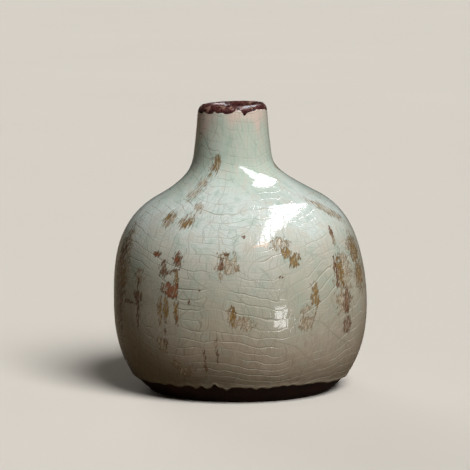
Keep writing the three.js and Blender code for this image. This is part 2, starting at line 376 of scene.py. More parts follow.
@dataclass
class Coats:
    """The three coats of glaze: how thick they are and where each one ends.

    Attributes:
        outline: The form that they lie on.
        celadon: Thickness of the outer glaze.
        lip: Thickness of the wash on the lip.
        liner: Thickness of the glaze inside.
        change: How far one coat takes to pass into the next.
        roll_rise: How much thicker the outer glaze is where it stopped above the foot.
        roll_width: How far up that roll reaches.
        roll_edge: Share of its thickness that the glaze still has at its very edge.
    """

    outline: Outline
    celadon: float = 0.6 * MM
    lip: float = 0.35 * MM
    liner: float = 0.5 * MM
    change: float = 3 * MM
    roll_rise: float = 0.45 * MM
    roll_width: float = 3.2 * MM
    roll_edge: float = 0.45

    def __post_init__(self) -> None:
        """Place the three ragged lines along the glazed face."""
        ends = self.outline.ends
        self.foot_line = RaggedLine(
            place=8.3 * MM,
            fade=5 * MM,
            waves=(
                (0.2, 1, -90), (0.8, 2, -90), (0.32, 5, 20), (0.3, 9, 71), (0.22, 14, 5), (0.12, 31, 12),
                (0.07, 57, 3),
            ),
            lobes=(
                (-142, -0.2, 3.5), (-132, -0.66, 3.4), (-124, -1.56, 3.4), (-113.5, -0.86, 1.2),
                (-110, 1.02, 1.3), (-107, -0.39, 1.3), (-103, 1.87, 1.3), (-97, -1.62, 1.3),
                (-93, -0.16, 1.7), (-89, 0.23, 1.7), (-85, 0.29, 1.3), (-82, -0.85, 1.3),
                (-76, -0.34, 1.3), (-73, 0.27, 1.3), (-68, 0.54, 2.1), (-63, 1.01, 2.1),
                (-48, -0.24, 2.9), (-37, -0.32, 2.5), (-31, 0.48, 2.5), (34, -0.5, 2.5), (52, 0.9, 1.6),
                (58, -0.8, 1.3), (71, -0.7, 1.5), (96, 0.8, 1.8), (118, -0.9, 1.4), (123, 0.7, 1.3),
                (150, -0.6, 3), (168, 0.8, 1.5), (-171, -0.8, 1.6), (-155, 0.6, 2), (12, 0.7, 1.6),
                (-12, -0.7, 1.6),
            ),
        )
        self.lip_line = RaggedLine(
            place=ends["lip_start"] + 0.7 * MM,
            fade=3 * MM,
            waves=((0.24, 3, 40), (0.3, 7, -82), (0.2, 12, 10), (0.08, 29, 4)),
            lobes=(
                (-70, -1.7, 3.4), (-134, -0.7, 7), (-121, 0.6, 2.6), (-95, -0.5, 8), (-40, 0.5, 12),
                (60, -0.9, 5), (118, -0.7, 4),
            ),
        )
        self.mouth_line = RaggedLine(
            place=ends["lip_end"] + 4.5 * MM,
            fade=3.5 * MM,
            waves=((0.7, 2, 30), (0.45, 5, 100), (0.2, 13, 0)),
        )

    def bent(self, run: np.ndarray, angle: np.ndarray) -> np.ndarray:
        """Bend rows near a ragged line so that the line is an edge of the grid."""
        return run + sum(line.bend(run, angle) for line in (self.foot_line, self.lip_line, self.mouth_line))

    def thickness(self, run: np.ndarray) -> np.ndarray:
        """Give the glaze's thickness: a roll above the foot, thin over the lip, even inside.

        Args:
            run: Distances along the face, before they are bent.

        Returns:
            The thickness at each.
        """
        beyond = (run - self.foot_line.place) / self.roll_width
        roll = np.where(beyond < 1, self.roll_rise * (1 - np.clip(beyond, 0, 1)) ** 2, 0)
        rounded = self.roll_edge + (1 - self.roll_edge) * np.sqrt(np.clip(beyond * 4, 0, 1))
        outside = (self.celadon + roll) * rounded
        over_lip = ease(run, self.lip_line.place - self.change, self.lip_line.place)
        into_mouth = ease(run, self.mouth_line.place, self.mouth_line.place + self.change)
        coat = outside + (self.lip - outside) * over_lip
        return coat + (self.liner - coat) * into_mouth


@dataclass
class HandMarks:
    """Small unevenness of a surface, always towards the clay, so that no size grows.

    Attributes:
        depth: The deepest dent.
        across: Size of one dent round the pot.
        along: Size of one dent up the wall.
        seed: Where in the noise the surface lies.
    """

    depth: float
    across: float
    along: float
    seed: float

    def dents(self, points: np.ndarray) -> np.ndarray:
        """Work out the dent at each point.

        Args:
            points: The points, with x, y and z along the last axis.

        Returns:
            A distance for each point, never less than nothing.
        """
        scale = np.array([1 / self.across, 1 / self.across, 1 / self.along])
        flat = points.reshape(-1, 3) * scale + self.seed
        waves = [noise.noise(place) + 0.5 * noise.noise(place * 2.1) for place in map(Vector, flat)]
        return self.depth * (0.5 + 0.42 * np.clip(np.array(waves), -1, 1)).reshape(points.shape[:-1])


# Meshes


@dataclass
class Sheet:
    """Rings of a closed surface, with the part of the texture square that they are drawn in."""

    rings: list[np.ndarray] = field(default_factory=list)
    heights: list[float] = field(default_factory=list)

    def lay(self, rings: list[np.ndarray], low: float, high: float) -> None:
        """Add rings, spread over a band of the texture square.

        Args:
            rings: Points of each ring; a ring of one point closes the surface on the axis.
            low: Height in the texture square of the first ring.
            high: Height in the texture square of the last ring.
        """
        self.rings += rings
        self.heights += np.linspace(low, high, len(rings)).tolist()

    def mesh(self, name: str) -> bpy.types.Object:
        """Join each ring to the next and the last to the first.

        Args:
            name: Name of the new object.

        Returns:
            The object, smooth-shaded, with its texture map.
        """
        starts = np.cumsum([0, *(len(ring) for ring in self.rings)])
        columns = max(len(ring) for ring in self.rings)
        faces, corners = [], []
        for row, ring in enumerate(self.rings):
            other = (row + 1) % len(self.rings)
            count, next_count = len(ring), len(self.rings[other])
            if count == next_count == 1:
                continue
            low = self.heights[row]
            high = self.heights[other] if other else self.heights[row]
            for column in range(columns):
                after = column + 1
                here = [starts[row] + column % count, starts[row] + after % count]
                there = [starts[other] + after % next_count, starts[other] + column % next_count]
                spots = [(column, low), (after, low), (after, high), (column, high)]
                if count == 1:
                    here, spots = here[:1], [(column + 0.5, low), *spots[2:]]
                if next_count == 1:
                    there, spots = there[:1], [*spots[:2], (column + 0.5, high)]
                faces.append([int(index) for index in here + there])
                corners += [(across / columns, up) for across, up in spots]
        data = bpy.data.meshes.new(name)
        data.from_pydata(np.vstack(self.rings).tolist(), [], faces)
        layer = data.uv_layers.new(name="OFBake")
        layer.data.foreach_set("uv", np.array(corners, dtype=np.float32).ravel())
        data.shade_smooth()
        data.update()
        piece = bpy.data.objects.new(name, data)
        bpy.context.scene.collection.objects.link(piece)
        return piece


@dataclass
class Thrown:
    """What every piece of the vase is built on: the form, its lean and its coats.

    Attributes:
        outline: The form.
        columns: How many points go round it.
        seam: Angle at which the texture square is cut open.
        last_ring: Radius of the smallest ring round the middle of the floor.
    """

    outline: Outline = field(default_factory=Outline)
    columns: int = 320
    seam: float = math.pi / 2
    last_ring: float = 1 * MM

    def __post_init__(self) -> None:
        """Derive the lean, the coats and the angles of the columns, from the seam at the back."""
        self.lean = Lean(self.outline)
        self.coats = Coats(self.outline)
        self.angles = self.seam + np.linspace(0, 2 * math.pi, self.columns, endpoint=False)

    def rows(self, stops: Sequence[float], steps: Sequence[int]) -> np.ndarray:
        """Space rows evenly from each stop to the next.

        Args:
            stops: Distances along the face.
            steps: How many steps lie between each two of them.

        Returns:
            The distance of each row along the face.
        """
        parts = [np.linspace(*stretch, endpoint=False) for stretch in zip(stops[:-1], stops[1:], steps)]
        return np.r_[np.concatenate(parts), stops[-1]]

    def skin(
        self,
        rows: np.ndarray,
        lift: np.ndarray | float = 0.0,
        marks: tuple[HandMarks, ...] = (),
        hold: np.ndarray | float = 1.0,
    ) -> list[np.ndarray]:
        """Place a grid of points on the face or above it.

        Args:
            rows: Distances along the face.
            lift: How far each row stands off the clay.
            marks: Unevenness to press into the surface.
            hold: Share of that unevenness that each row takes.

        Returns:
            The points of each row.
        """
        run, angle = np.meshgrid(rows, self.angles, indexing="ij")
        bent = self.coats.bent(run, angle)
        rise = np.broadcast_to(np.reshape(lift, (-1, 1)), run.shape)
        points = self.lean.stand(*self.outline.face.at(bent, rise), angle)
        if marks:
            for mark in marks:
                rise = rise - mark.dents(points)
            pressed = self.lean.stand(*self.outline.face.at(bent, rise), angle)
            points = points + (pressed - points) * np.reshape(hold, (-1, 1, 1))
        return list(points)


class Piece(Enum):
    """The four separate pieces: node in the model, and a slot name that nothing here reads."""

    CLAY = ("clay_body", "bare_stoneware")
    CELADON = ("celadon_glaze", "celadon_crackle_glaze")
    LIP = ("lip_glaze", "iron_lip_wash")
    LINER = ("liner_glaze", "liner_glaze")


def settle(piece: bpy.types.Object, kind: Piece, finish: bpy.types.Material) -> bpy.types.Object:
    """Dress a piece and let it stand for its node.

    Args:
        piece: The new mesh.
        kind: Which piece of the vase it is.
        finish: Its material.

    Returns:
        The piece.
    """
    piece.data.materials.append(finish)
    node, slot = kind.value
    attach(piece, "root")
    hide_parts(node)
    return piece


# Finishes


@dataclass(frozen=True)
class Finish:
    """What every finish has: a name, typical values for the real material, and a tree to fill."""

    name: str = "finish"
    roughness: float = 0.5
    ior: float = 1.5

    def start(self) -> tuple[bpy.types.Material, Callable, bpy.types.Node, Socket]:
        """Make the material with its shader and its coordinates in millimetres.

        Returns:
            The material, the means to add nodes to it, its shader and the position on the pot.
        """
        material = bpy.data.materials.new(self.name)
        material.use_nodes = True
        put = partial(add, material.node_tree)
        shader = material.node_tree.nodes["Principled BSDF"]
        shader.inputs["Roughness"].default_value = self.roughness
        shader.inputs["IOR"].default_value = self.ior
        place = put("TexCoord", {}, "Object")
        position = put("VectorMath", {0: place, 3: 1 / MM}, operation="SCALE")
        return material, put, shader, position

    def join(
        self, material: bpy.types.Material, shader: bpy.types.Node, **links: Socket
    ) -> bpy.types.Material:
        """Link outputs to the shader.

        Args:
            material: The material.
            shader: Its shader.
            **links: An output for each socket, in whose name an underscore stands for a space.

        Returns:
            The material.
        """
        for name, socket in links.items():
            material.node_tree.links.new(socket, shader.inputs[name.replace("_", " ")])
        return material


@dataclass(frozen=True)
class FiredStoneware(Finish):
    """Iron-rich stoneware, turned and fired without glaze: dark brown, matt, with grit and turning lines.

    Attributes:
        body: Colour of the clay.
        scorched: Its colour where the fire darkened it.
        grit: Colour of the grains.
        grit_size: Size of a grain in mm.
        line_spacing: Distance between the turning lines in mm.
        cloud_size: Size of the scorched clouds in mm.
    """

    name: str = "fired_stoneware"
    roughness: float = 0.82
    ior: float = 1.52
    body: str = "#3c1a10"
    scorched: str = "#1c0a06"
    grit: str = "#54301f"
    grit_size: float = 0.45
    line_spacing: float = 0.45
    cloud_size: float = 9.091

    def make(self) -> bpy.types.Material:
        """Build the material.

        Returns:
            The material.
        """
        material, put, shader, position = self.start()
        cloud = put("TexNoise", {"Vector": position, "Scale": 1 / self.cloud_size, "Detail": 5.0})
        spread = put("MapRange", {0: cloud, 1: 0.35, 2: 0.65})
        clay = put("Mix", {0: spread, 6: linear(self.scorched), 7: linear(self.body)}, 2, data_type="RGBA")
        grains = put("TexVoronoi", {"Vector": position, "Scale": 0.5 / self.grit_size}, "Distance")
        specks = put("MapRange", {0: grains, 1: 0.24, 2: 0.12}, interpolation_type="SMOOTHSTEP")
        faint = put("Math", {0: specks, 1: 0.55}, operation="MULTIPLY")
        colour = put("Mix", {0: faint, 6: clay, 7: linear(self.grit)}, 2, data_type="RGBA")
        height = put("SeparateXYZ", {0: position}, "Z")
        wander = put("Math", {0: cloud, 1: 0.8, 2: height}, operation="MULTIPLY_ADD")
        turned = put("Math", {0: wander, 1: 2 * math.pi / self.line_spacing}, operation="MULTIPLY")
        ridges = put("Math", {0: turned}, operation="SINE")
        rough = put("Math", {0: specks, 1: 1.5, 2: ridges}, operation="MULTIPLY_ADD")
        bump = put("Bump", {"Height": rough, "Strength": 0.8, "Distance": 0.03 * MM})
        return self.join(material, shader, Base_Color=colour, Normal=bump)


class Slant(Enum):
    """How a stain lies, as the turn of its long side in degrees."""

    LEVEL = 0
    FALLING = -25
    RISING = 20


@dataclass(frozen=True)
class Stain:
    """A patch where iron bled through the glaze; the cream ones in front are a painted reflection.

    Attributes:
        turn: Angle from the front, to the right, in degrees.
        height: Height in millimetres.
        half_width: Half of its width round the pot, in millimetres at the belly.
        half_height: Half of its height in millimetres.
        strength: How dense it is, up to one or a little over.
        slant: How it lies.
    """

    turn: float
    height: float
    half_width: float
    half_height: float
    strength: float = 1.0
    slant: Slant = Slant.LEVEL


@dataclass(frozen=True)
class Bleed:
    """One kind of iron stain, with all the places where it shows; the cream kind in front is a painted
    reflection.

    Attributes:
        fill: Colour of its middle.
        edge: Colour of its outline and of the cracks in it.
        opacity: How much of the glaze its middle hides.
        threads: How much of the glaze its cracks hide.
        stains: The patches.
    """

    fill: str
    edge: str
    opacity: float
    threads: float
    stains: tuple[Stain, ...]


# Pale iron that hangs in the glaze like lace, in the widest patches
LACE = Bleed("#d8cab2", "#6d5330", 0.58, 0.7, (
    Stain(-42.8, 71.2, 3.1, 2.6, 0.95), Stain(-30.3, 71, 3.7, 2.4, 0.95),
    Stain(-28.2, 76.4, 2.8, 1.1, 0.8, Slant.FALLING), Stain(-8, 59.2, 2, 1.5, 0.9),
    Stain(-6.1, 55.5, 3.6, 2.6, 1), Stain(-8.9, 51.3, 1, 1.5, 0.8), Stain(-3.7, 35.9, 1.5, 3.5, 1),
    Stain(1.3, 33.2, 3.6, 2.4, 0.9), Stain(19.3, 63.4, 3.8, 2.2, 0.95),
    Stain(63.7, 73, 10, 1.8, 0.85, Slant.FALLING), Stain(53.3, 64.5, 1.1, 3, 0.75),
    Stain(55, 50.4, 5.4, 6.6, 1), Stain(53.8, 39.2, 4.8, 4.4, 0.85), Stain(71.3, 58.1, 6.4, 5, 0.9),
    Stain(72.4, 47.5, 6.4, 5.8, 0.9), Stain(30.2, 32.5, 2.9, 2.4, 0.9), Stain(29.6, 37.6, 2, 1.5, 0.7),
    Stain(-3.1, 56.3, 1.5, 3.8, 0.8), Stain(-51.9, 49.1, 2.6, 3.1, 0.75),
    Stain(-69.6, 51.1, 5.7, 14.4, 0.9), Stain(-38, 36.9, 1.2, 5.1, 0.9), Stain(-34.6, 90, 6, 3, 0.5),
    Stain(-39.8, 84.2, 5, 2, 0.6), Stain(-40.1, 80.7, 4.3, 2.3, 0.7), Stain(-37.5, 23.2, 2, 2.8, 0.8),
    Stain(-26.3, 13.4, 3.8, 2.1, 0.85), Stain(-31.2, 15.9, 2, 1.7, 0.8),
    Stain(98, 66, 7, 4, 0.9, Slant.RISING), Stain(118, 45, 4, 12, 0.95),
    Stain(138, 72, 7, 3.4, 0.9, Slant.FALLING), Stain(155, 36, 5, 8, 0.9),
    Stain(-158, 58, 6, 4.4, 0.95, Slant.RISING), Stain(-140, 34, 3.4, 11, 0.95),
    Stain(-122, 69, 6, 4, 0.9, Slant.FALLING), Stain(-100, 38, 4, 12, 0.9),
    Stain(150, 86, 9, 2.6, 0.8, Slant.RISING), Stain(-112, 85, 8, 2.4, 0.8, Slant.FALLING),
    Stain(100, 22, 4, 4, 0.8), Stain(-160, 18, 5, 3, 0.75), Stain(85, 89.5, 8, 1.6, 0.9),
))

# Yellow-brown middles of the stronger patches
OCHRE = Bleed("#967847", "#5a4122", 0.9, 0.55, (
    Stain(-30.1, 47.8, 1.1, 4.8, 1.25), Stain(-34.7, 37.7, 1, 4.3, 1.2), Stain(-29.2, 37.4, 1, 4.9, 1),
    Stain(-38, 37.3, 0.7, 4.2, 0.9), Stain(22, 60, 2.2, 1.8, 1.15, Slant.FALLING),
    Stain(25.8, 56.9, 1.9, 2.6, 1.25, Slant.FALLING),
    Stain(35.1, 42.6, 1.7, 4.6, 1.05), Stain(-31.5, 91.8, 3.6, 3, 1.4), Stain(-38, 87.2, 2.3, 0.7, 1.1),
    Stain(70.5, 56.9, 4, 3.9, 1), Stain(71.5, 47.7, 3.4, 4.4, 1), Stain(-3.4, 36.4, 0.9, 3.1, 1.1),
    Stain(-66.8, 46.7, 2.7, 3.9, 1), Stain(-44.3, 71.7, 1.9, 1.3, 0.9), Stain(-30.2, 70.6, 1.9, 1.4, 0.9),
    Stain(52.8, 51.2, 1.7, 5.2, 0.95), Stain(118, 42, 1, 8, 1), Stain(154, 38, 2.5, 3, 1),
    Stain(-158, 58, 2, 2.2, 1.1), Stain(-101, 36, 1, 7, 1),
))

# Dark brown streaks along cracks, and dots
UMBER = Bleed("#7f5a42", "#46301f", 0.85, 0.5, (
    Stain(-33.9, 43.6, 3.6, 0.5, 1.0, Slant.FALLING), Stain(-42.1, 58.5, 2.2, 1.1, 1.1),
    Stain(-30, 57.1, 2.2, 2.5, 0.9), Stain(-28.5, 57.5, 0.5, 2, 1), Stain(-37, 53.2, 1.7, 2.8, 0.95),
    Stain(-33.1, 52.2, 3.2, 0.7, 0.9, Slant.RISING), Stain(-52.2, 38.6, 0.9, 8.9, 1),
    Stain(-52.3, 41, 2.3, 2.2, 1), Stain(-60.2, 38.3, 7, 0.7, 0.8), Stain(-71.3, 43.4, 4.3, 17.1, 1),
    Stain(-18.2, 46.2, 0.6, 0.6, 1), Stain(-23, 41.1, 0.6, 0.6, 1.1), Stain(-8.6, 55.9, 1, 2.1, 0.95),
    Stain(-7.2, 59.8, 1.2, 0.5, 1), Stain(1.5, 66.3, 0.7, 0.6, 1), Stain(18.4, 50.9, 0.7, 0.6, 1),
    Stain(55.5, 39.1, 2.1, 4.5, 1), Stain(55.8, 29.6, 2.7, 2.8, 1), Stain(49.4, 50.4, 0.7, 5.7, 0.9),
    Stain(53.5, 66.2, 0.9, 1.7, 0.8), Stain(-29.2, 34.7, 0.6, 2.1, 1), Stain(-35.3, 27.9, 0.5, 4.6, 0.7),
    Stain(-16.2, 17.6, 0.5, 4.2, 0.7), Stain(-10.3, 22.8, 0.5, 4, 0.6), Stain(150, 60, 0.6, 6, 0.9),
    Stain(-120, 50, 0.7, 8, 0.9), Stain(110, 52, 2.5, 0.8, 0.8), Stain(-150, 44, 0.6, 7, 0.9),
))

# Small cream patches: the two in front are a painted warm reflection just below the large highlight, the one
# at the back a cream patch without much iron
CREAM_AND_PAINTED_GLEAM = Bleed("#f0dccb", "#cdb298", 1.0, 0.25, (
    Stain(11.4, 63.4, 2.0, 0.9, 1.3), Stain(7.6, 62.9, 1.6, 0.4, 1.2), Stain(-170, 52, 1.6, 0.8, 1.2),
))

# Red-brown patches, most of them left of the front
RUST = Bleed("#955c3f", "#4a301e", 0.95, 0.45, (
    Stain(-33.2, 45.3, 3.2, 2.1, 1.4, Slant.FALLING), Stain(-30.3, 45.6, 1.1, 2.6, 1.2),
    Stain(-29.4, 34.6, 0.4, 1.2, 1.0),
    Stain(-31.2, 57.2, 1.2, 1.2, 1.1), Stain(-42.1, 58.4, 1.4, 0.7, 1.1), Stain(-140, 33, 1.2, 4, 1.2),
))


@dataclass(frozen=True)
class CrackleCeladon(Finish):
    """Celadon on stoneware, dipped and fired glossy: a glassy pale blue-green that crazed as it cooled.

    The glass gives sharp reflections. Each crack is a fine groove, and the long ones have a side that catches
    the light, painted there as a highlight that grows towards the right. The cracks' dark colour holds
    painted shade that grows towards the left, and the colour bands hold painted shade towards the foot and on
    the neck and painted light on the shoulder. Iron has bled through in patches, and a small painted warm
    reflection lies below the large highlight. The real cracks are about 0.1 mm wide, and they are drawn about
    0.3 mm wide, to show. Every size is in mm.

    Attributes:
        bands_with_painted_shade: Heights in mm, and the colour at each: the glaze's own tone with painted
            shade, darker and browner towards the foot and darker on the neck, and painted light that makes
            the shoulder lightest.
        milky: Colour where it went cloudy.
        watery: Colour where it pooled clear.
        craze: Colour of the cracks.
        glint: Colour of their side that catches the light: a painted highlight.
        belly_radius: Radius of the drum on which the crackle is drawn.
        row_spacing: Distance between the long cracks that run round the pot.
        sag: How much lower these hang in front than at the sides.
        sag_start: How far round from the front they start to rise, in radians.
        sag_end: How far round they are all the way up, in radians.
        painted_shading_flank: How far round from the front the painted highlight on the cracks grows and
            their painted shade fades, from left to right, in radians.
        undercut: Heights between which the wall turns from widening to closing.
        row_fade: Radii between which the long cracks reach their full strength.
        fine_fade: Radii between which the rungs and hairs do.
        rungs_round: How many short upright cracks go round the belly.
        veins_round: How many slanted cracks go round the belly, each way.
        hair_spacing: Distance between the finest cracks, upright and level.
        crack_width: Width of a crack as drawn.
        sweep_size: Size of the broad bends in the cracks.
        sweep_reach: How far these bend a long crack, as a share of the radius.
        ripple_size: Size of the small bends in the cracks.
        ripple_reach: How far these bend a long crack, as a share of the radius.
        cloud_size: Size of the broad clouds of colour.
        cloud_reach: How far up or down these move the bands.
        mottle_size: Size of the milky and watery spots.
        mottle_fade: Heights between which these grow strong.
        peel_size: Size of the dimples in the gloss.
        relief: Depth of the dimples, the rows and the rungs, in metres.
        bloom: How far out a stain fades away, as a share of its half width and half height.
        net_size: Size of the fine cells in which the stains hang.
        fray_size: Size of the notches in the stains' edges.
        fray_reach: How far these push an edge in all.
        stroke_size: Width of the strokes within a stain.
        stroke_stretch: How many times longer than wide they are.
        stroke_lean: How far they lean to the right, in degrees.
    """

    name: str = "celadon_crackle_glaze"
    roughness: float = 0.055
    ior: float = 1.52
    # The colour bands hold painted shade, darker and browner towards the foot and darker on the neck, and
    # painted light that makes the shoulder band at 74 mm the lightest.
    bands_with_painted_shade: tuple[tuple[float, str], ...] = (
        (8.0, "#8e816e"),
        (22.0, "#a59582"),
        (43.0, "#b2b09f"),
        (60.0, "#c3c3b6"),
        (74.0, "#d7e0da"),
        (88.0, "#becabd"),
        (104.0, "#bfc7b8"),
        (111.0, "#d8c4b7"),
    )
    milky: str = "#cdc3b3"
    watery: str = "#a3b8a9"
    craze: str = "#5b5a46"
    glint: str = "#ece6d4"
    belly_radius: float = 50.0
    row_spacing: float = 3.7
    sag: float = 10.0
    sag_start: float = 0.25
    sag_end: float = 1.2
    painted_shading_flank: float = 0.7
    undercut: tuple[float, float] = (22.0, 42.0)
    row_fade: tuple[float, float] = (15.0, 30.0)
    fine_fade: tuple[float, float] = (18.0, 36.0)
    rungs_round: int = 118
    veins_round: int = 46
    hair_spacing: float = 1.15
    crack_width: float = 0.32
    sweep_size: float = 38.46
    sweep_reach: float = 0.34
    ripple_size: float = 8.333
    ripple_reach: float = 0.085
    cloud_size: float = 33.33
    cloud_reach: float = 9.0
    mottle_size: float = 6.25
    mottle_fade: tuple[float, float] = (25.0, 65.0)
    peel_size: float = 4.0
    relief: float = 0.08 * MM
    bloom: float = 1.5
    net_size: float = 1.25
    fray_size: float = 2.0
    fray_reach: float = 2.6
    stroke_size: float = 0.8696
    stroke_stretch: float = 3.4
    stroke_lean: float = 18.0

    def flatten(self, put: Callable, position: Socket) -> Spots:
        """Unroll the pot: how far round it is at the belly's radius, and how far up its wall.

        Args:
            put: Adds a node.
            position: The position on the pot in millimetres.

        Returns:
            The turn from the front in radians, the height and the radius in millimetres, the run up the wall,
            the place on a drum as wide as the belly, and the plan, which is that drum laid flat.
        """
        x, y, z = put("SeparateXYZ", {0: position}).node.outputs
        back = put("Math", {0: y, 1: -1.0}, operation="MULTIPLY")
        turn = put("Math", {0: x, 1: back}, operation="ARCTAN2")
        flat = put("VectorMath", {0: position, 1: (1, 1, 0)}, operation="MULTIPLY")
        radius = put("VectorMath", {0: flat}, "Value", operation="LENGTH")
        side = put("MapRange", {0: z, 1: self.undercut[0], 2: self.undercut[1], 3: -0.6, 4: 0.6})
        shrink = put("Math", {0: self.belly_radius, 1: radius}, operation="SUBTRACT")
        run = put("Math", {0: shrink, 1: side, 2: z}, operation="MULTIPLY_ADD")
        unit = put("VectorMath", {0: flat}, operation="NORMALIZE")
        drum = put("VectorMath", {0: unit, 3: self.belly_radius}, operation="SCALE")
        rise = put("CombineXYZ", {"Z": run})
        place = put("VectorMath", {0: drum, 1: rise}, operation="ADD")
        arc = put("Math", {0: turn, 1: self.belly_radius}, operation="MULTIPLY")
        plan = put("CombineXYZ", {"X": arc, "Y": z})
        return {"turn": turn, "height": z, "radius": radius, "run": run, "place": place, "plan": plan}

    def lines(self, put: Callable, count: Socket, spacing: float) -> Socket:
        """Draw a crack wherever a count passes a whole number.

        Args:
            put: Adds a node.
            count: A number that grows by one from crack to crack.
            spacing: How many millimetres apart the cracks lie.

        Returns:
            One in the middle of a crack, nothing beyond its edges.
        """
        away = put("Math", {0: count, 1: 0.5}, operation="PINGPONG")
        edge = self.crack_width / spacing
        return put("MapRange", {0: away, 1: edge, 2: edge / 6}, interpolation_type="SMOOTHSTEP")

    def patchy(self, put: Callable, place: Socket, size: float, low: float) -> Socket:
        """Let a pattern come and go.

        Args:
            put: Adds a node.
            place: The place on the drum.
            size: Size of the patches in millimetres.
            low: How much is left of the pattern between them.

        Returns:
            A share between the low one and one.
        """
        cloud = put("TexNoise", {"Vector": place, "Scale": 1 / size, "Detail": 1.0})
        return put("MapRange", {0: cloud, 1: 0.4, 2: 0.56, 3: low, 4: 1.0}, interpolation_type="SMOOTHSTEP")

    def rows(self, put: Callable, spots: Spots) -> tuple[Socket, Socket, Socket]:
        """Draw the long cracks, which run round the pot and sag across its front.

        Args:
            put: Adds a node.
            spots: The unrolled coordinates and the bends.

        Returns:
            A number that grows by one from row to row, the rows, and their sides that catch the light, as a
            painted highlight that is stronger towards the right.
        """
        turn, radius = spots["turn"], spots["radius"]
        aside = put("Math", {0: turn}, operation="ABSOLUTE")
        settings = {0: aside, 1: self.sag_start, 2: self.sag_end, 4: -self.sag}
        sag = put("MapRange", settings, interpolation_type="SMOOTHSTEP")
        broad = put("Math", {0: radius, 1: self.sweep_reach}, operation="MULTIPLY")
        fine = put("Math", {0: radius, 1: self.ripple_reach}, operation="MULTIPLY")
        bent = put("Math", {0: spots["sweep"], 1: broad, 2: spots["run"]}, operation="MULTIPLY_ADD")
        bent = put("Math", {0: spots["ripple"], 1: fine, 2: bent}, operation="MULTIPLY_ADD")
        girth = put("Math", {0: radius, 1: 1 / self.belly_radius}, operation="MULTIPLY")
        bent = put("Math", {0: sag, 1: girth, 2: bent}, operation="MULTIPLY_ADD")
        count = put("Math", {0: bent, 1: 1 / self.row_spacing}, operation="MULTIPLY")
        rows = self.lines(put, count, self.row_spacing)
        below = put("Math", {0: count, 1: self.crack_width / self.row_spacing}, operation="ADD")
        lit = self.lines(put, below, self.row_spacing)
        line = put("Math", {0: count, 1: 0.5}, operation="ADD")
        line = put("Math", {0: line}, operation="FLOOR")
        chance = put("TexWhiteNoise", {"W": line}, noise_dimensions="1D")
        depth = put("MapRange", {0: chance, 3: 0.4, 4: 1.0})
        depth = put("Math", {0: depth, 1: self.patchy(put, spots["place"], 16, 0.2)}, operation="MULTIPLY")
        calm = put("MapRange", {0: radius, 1: self.row_fade[0], 2: self.row_fade[1], 3: 0.5, 4: 1.0})
        depth = put("Math", {0: depth, 1: calm}, operation="MULTIPLY")
        rows = put("Math", {0: rows, 1: depth}, operation="MULTIPLY")
        # Painted highlight: the rows' lit sides are stronger towards the right, where the light falls.
        painted_light_facing = put("MapRange", {0: turn, 1: -self.painted_shading_flank, 2: self.painted_shading_flank, 3: 0.6, 4: 0.9})
        lit = put("Math", {0: lit, 1: depth}, operation="MULTIPLY")
        lit = put("Math", {0: lit, 1: painted_light_facing}, operation="MULTIPLY")
        return count, rows, lit

    def rungs(self, put: Callable, spots: Spots, count: Socket) -> Socket:
        """Draw the short upright cracks between the rows, some strong and some not there.

        Args:
            put: Adds a node.
            spots: The unrolled coordinates and the bends.
            count: A number that grows by one from row to row.

        Returns:
            How strong they are.
        """
        band = put("Math", {0: count}, operation="FLOOR")
        shift = put("TexWhiteNoise", {"W": band}, noise_dimensions="1D")
        a_radian = self.rungs_round / (2 * math.pi)
        about = put("Math", {0: spots["turn"], 1: a_radian, 2: shift}, operation="MULTIPLY_ADD")
        about = put("Math", {0: spots["ripple"], 1: 3.0, 2: about}, operation="MULTIPLY_ADD")
        rungs = self.lines(put, about, self.belly_radius / a_radian)
        post = put("Math", {0: about, 1: 0.5}, operation="ADD")
        post = put("Math", {0: post}, operation="FLOOR")
        cell = put("CombineXYZ", {"X": post, "Y": band})
        kept = put("TexWhiteNoise", {"Vector": cell}, noise_dimensions="2D")
        kept = put("MapRange", {0: kept, 1: 0.25, 2: 1.0, 4: 0.62})
        kept = put("Math", {0: kept, 1: spots["wide"]}, operation="MULTIPLY")
        return put("Math", {0: rungs, 1: kept}, operation="MULTIPLY")

    def veins(self, put: Callable, spots: Spots, every: Socket) -> Socket:
        """Draw the slanted cracks, in patches.

        Args:
            put: Adds a node.
            spots: The unrolled coordinates and the bends.
            every: The cracks drawn so far.

        Returns:
            All the cracks.
        """
        veins = (
            (self.veins_round, 9.0, 9.0, 0.5),
            (-self.veins_round, 11.0, -7.0, 0.45),
            (12, 17.0, 3.0, 0.6),
        )
        for round_it, rise, wander, strength in veins:
            slant = put("Math", {0: spots["turn"], 1: round_it / (2 * math.pi)}, operation="MULTIPLY")
            slant = put("Math", {0: spots["run"], 1: 1 / rise, 2: slant}, operation="MULTIPLY_ADD")
            slant = put("Math", {0: spots["sweep"], 1: wander, 2: slant}, operation="MULTIPLY_ADD")
            spacing = 1 / math.hypot(round_it / (2 * math.pi * self.belly_radius), 1 / rise)
            vein = self.lines(put, slant, spacing)
            patch = self.patchy(put, spots["place"], rise * 1.7, 0.0)
            share = put("Math", {0: patch, 1: strength}, operation="MULTIPLY")
            vein = put("Math", {0: vein, 1: share}, operation="MULTIPLY")
            every = put("Math", {0: every, 1: vein}, operation="MAXIMUM")
        return every

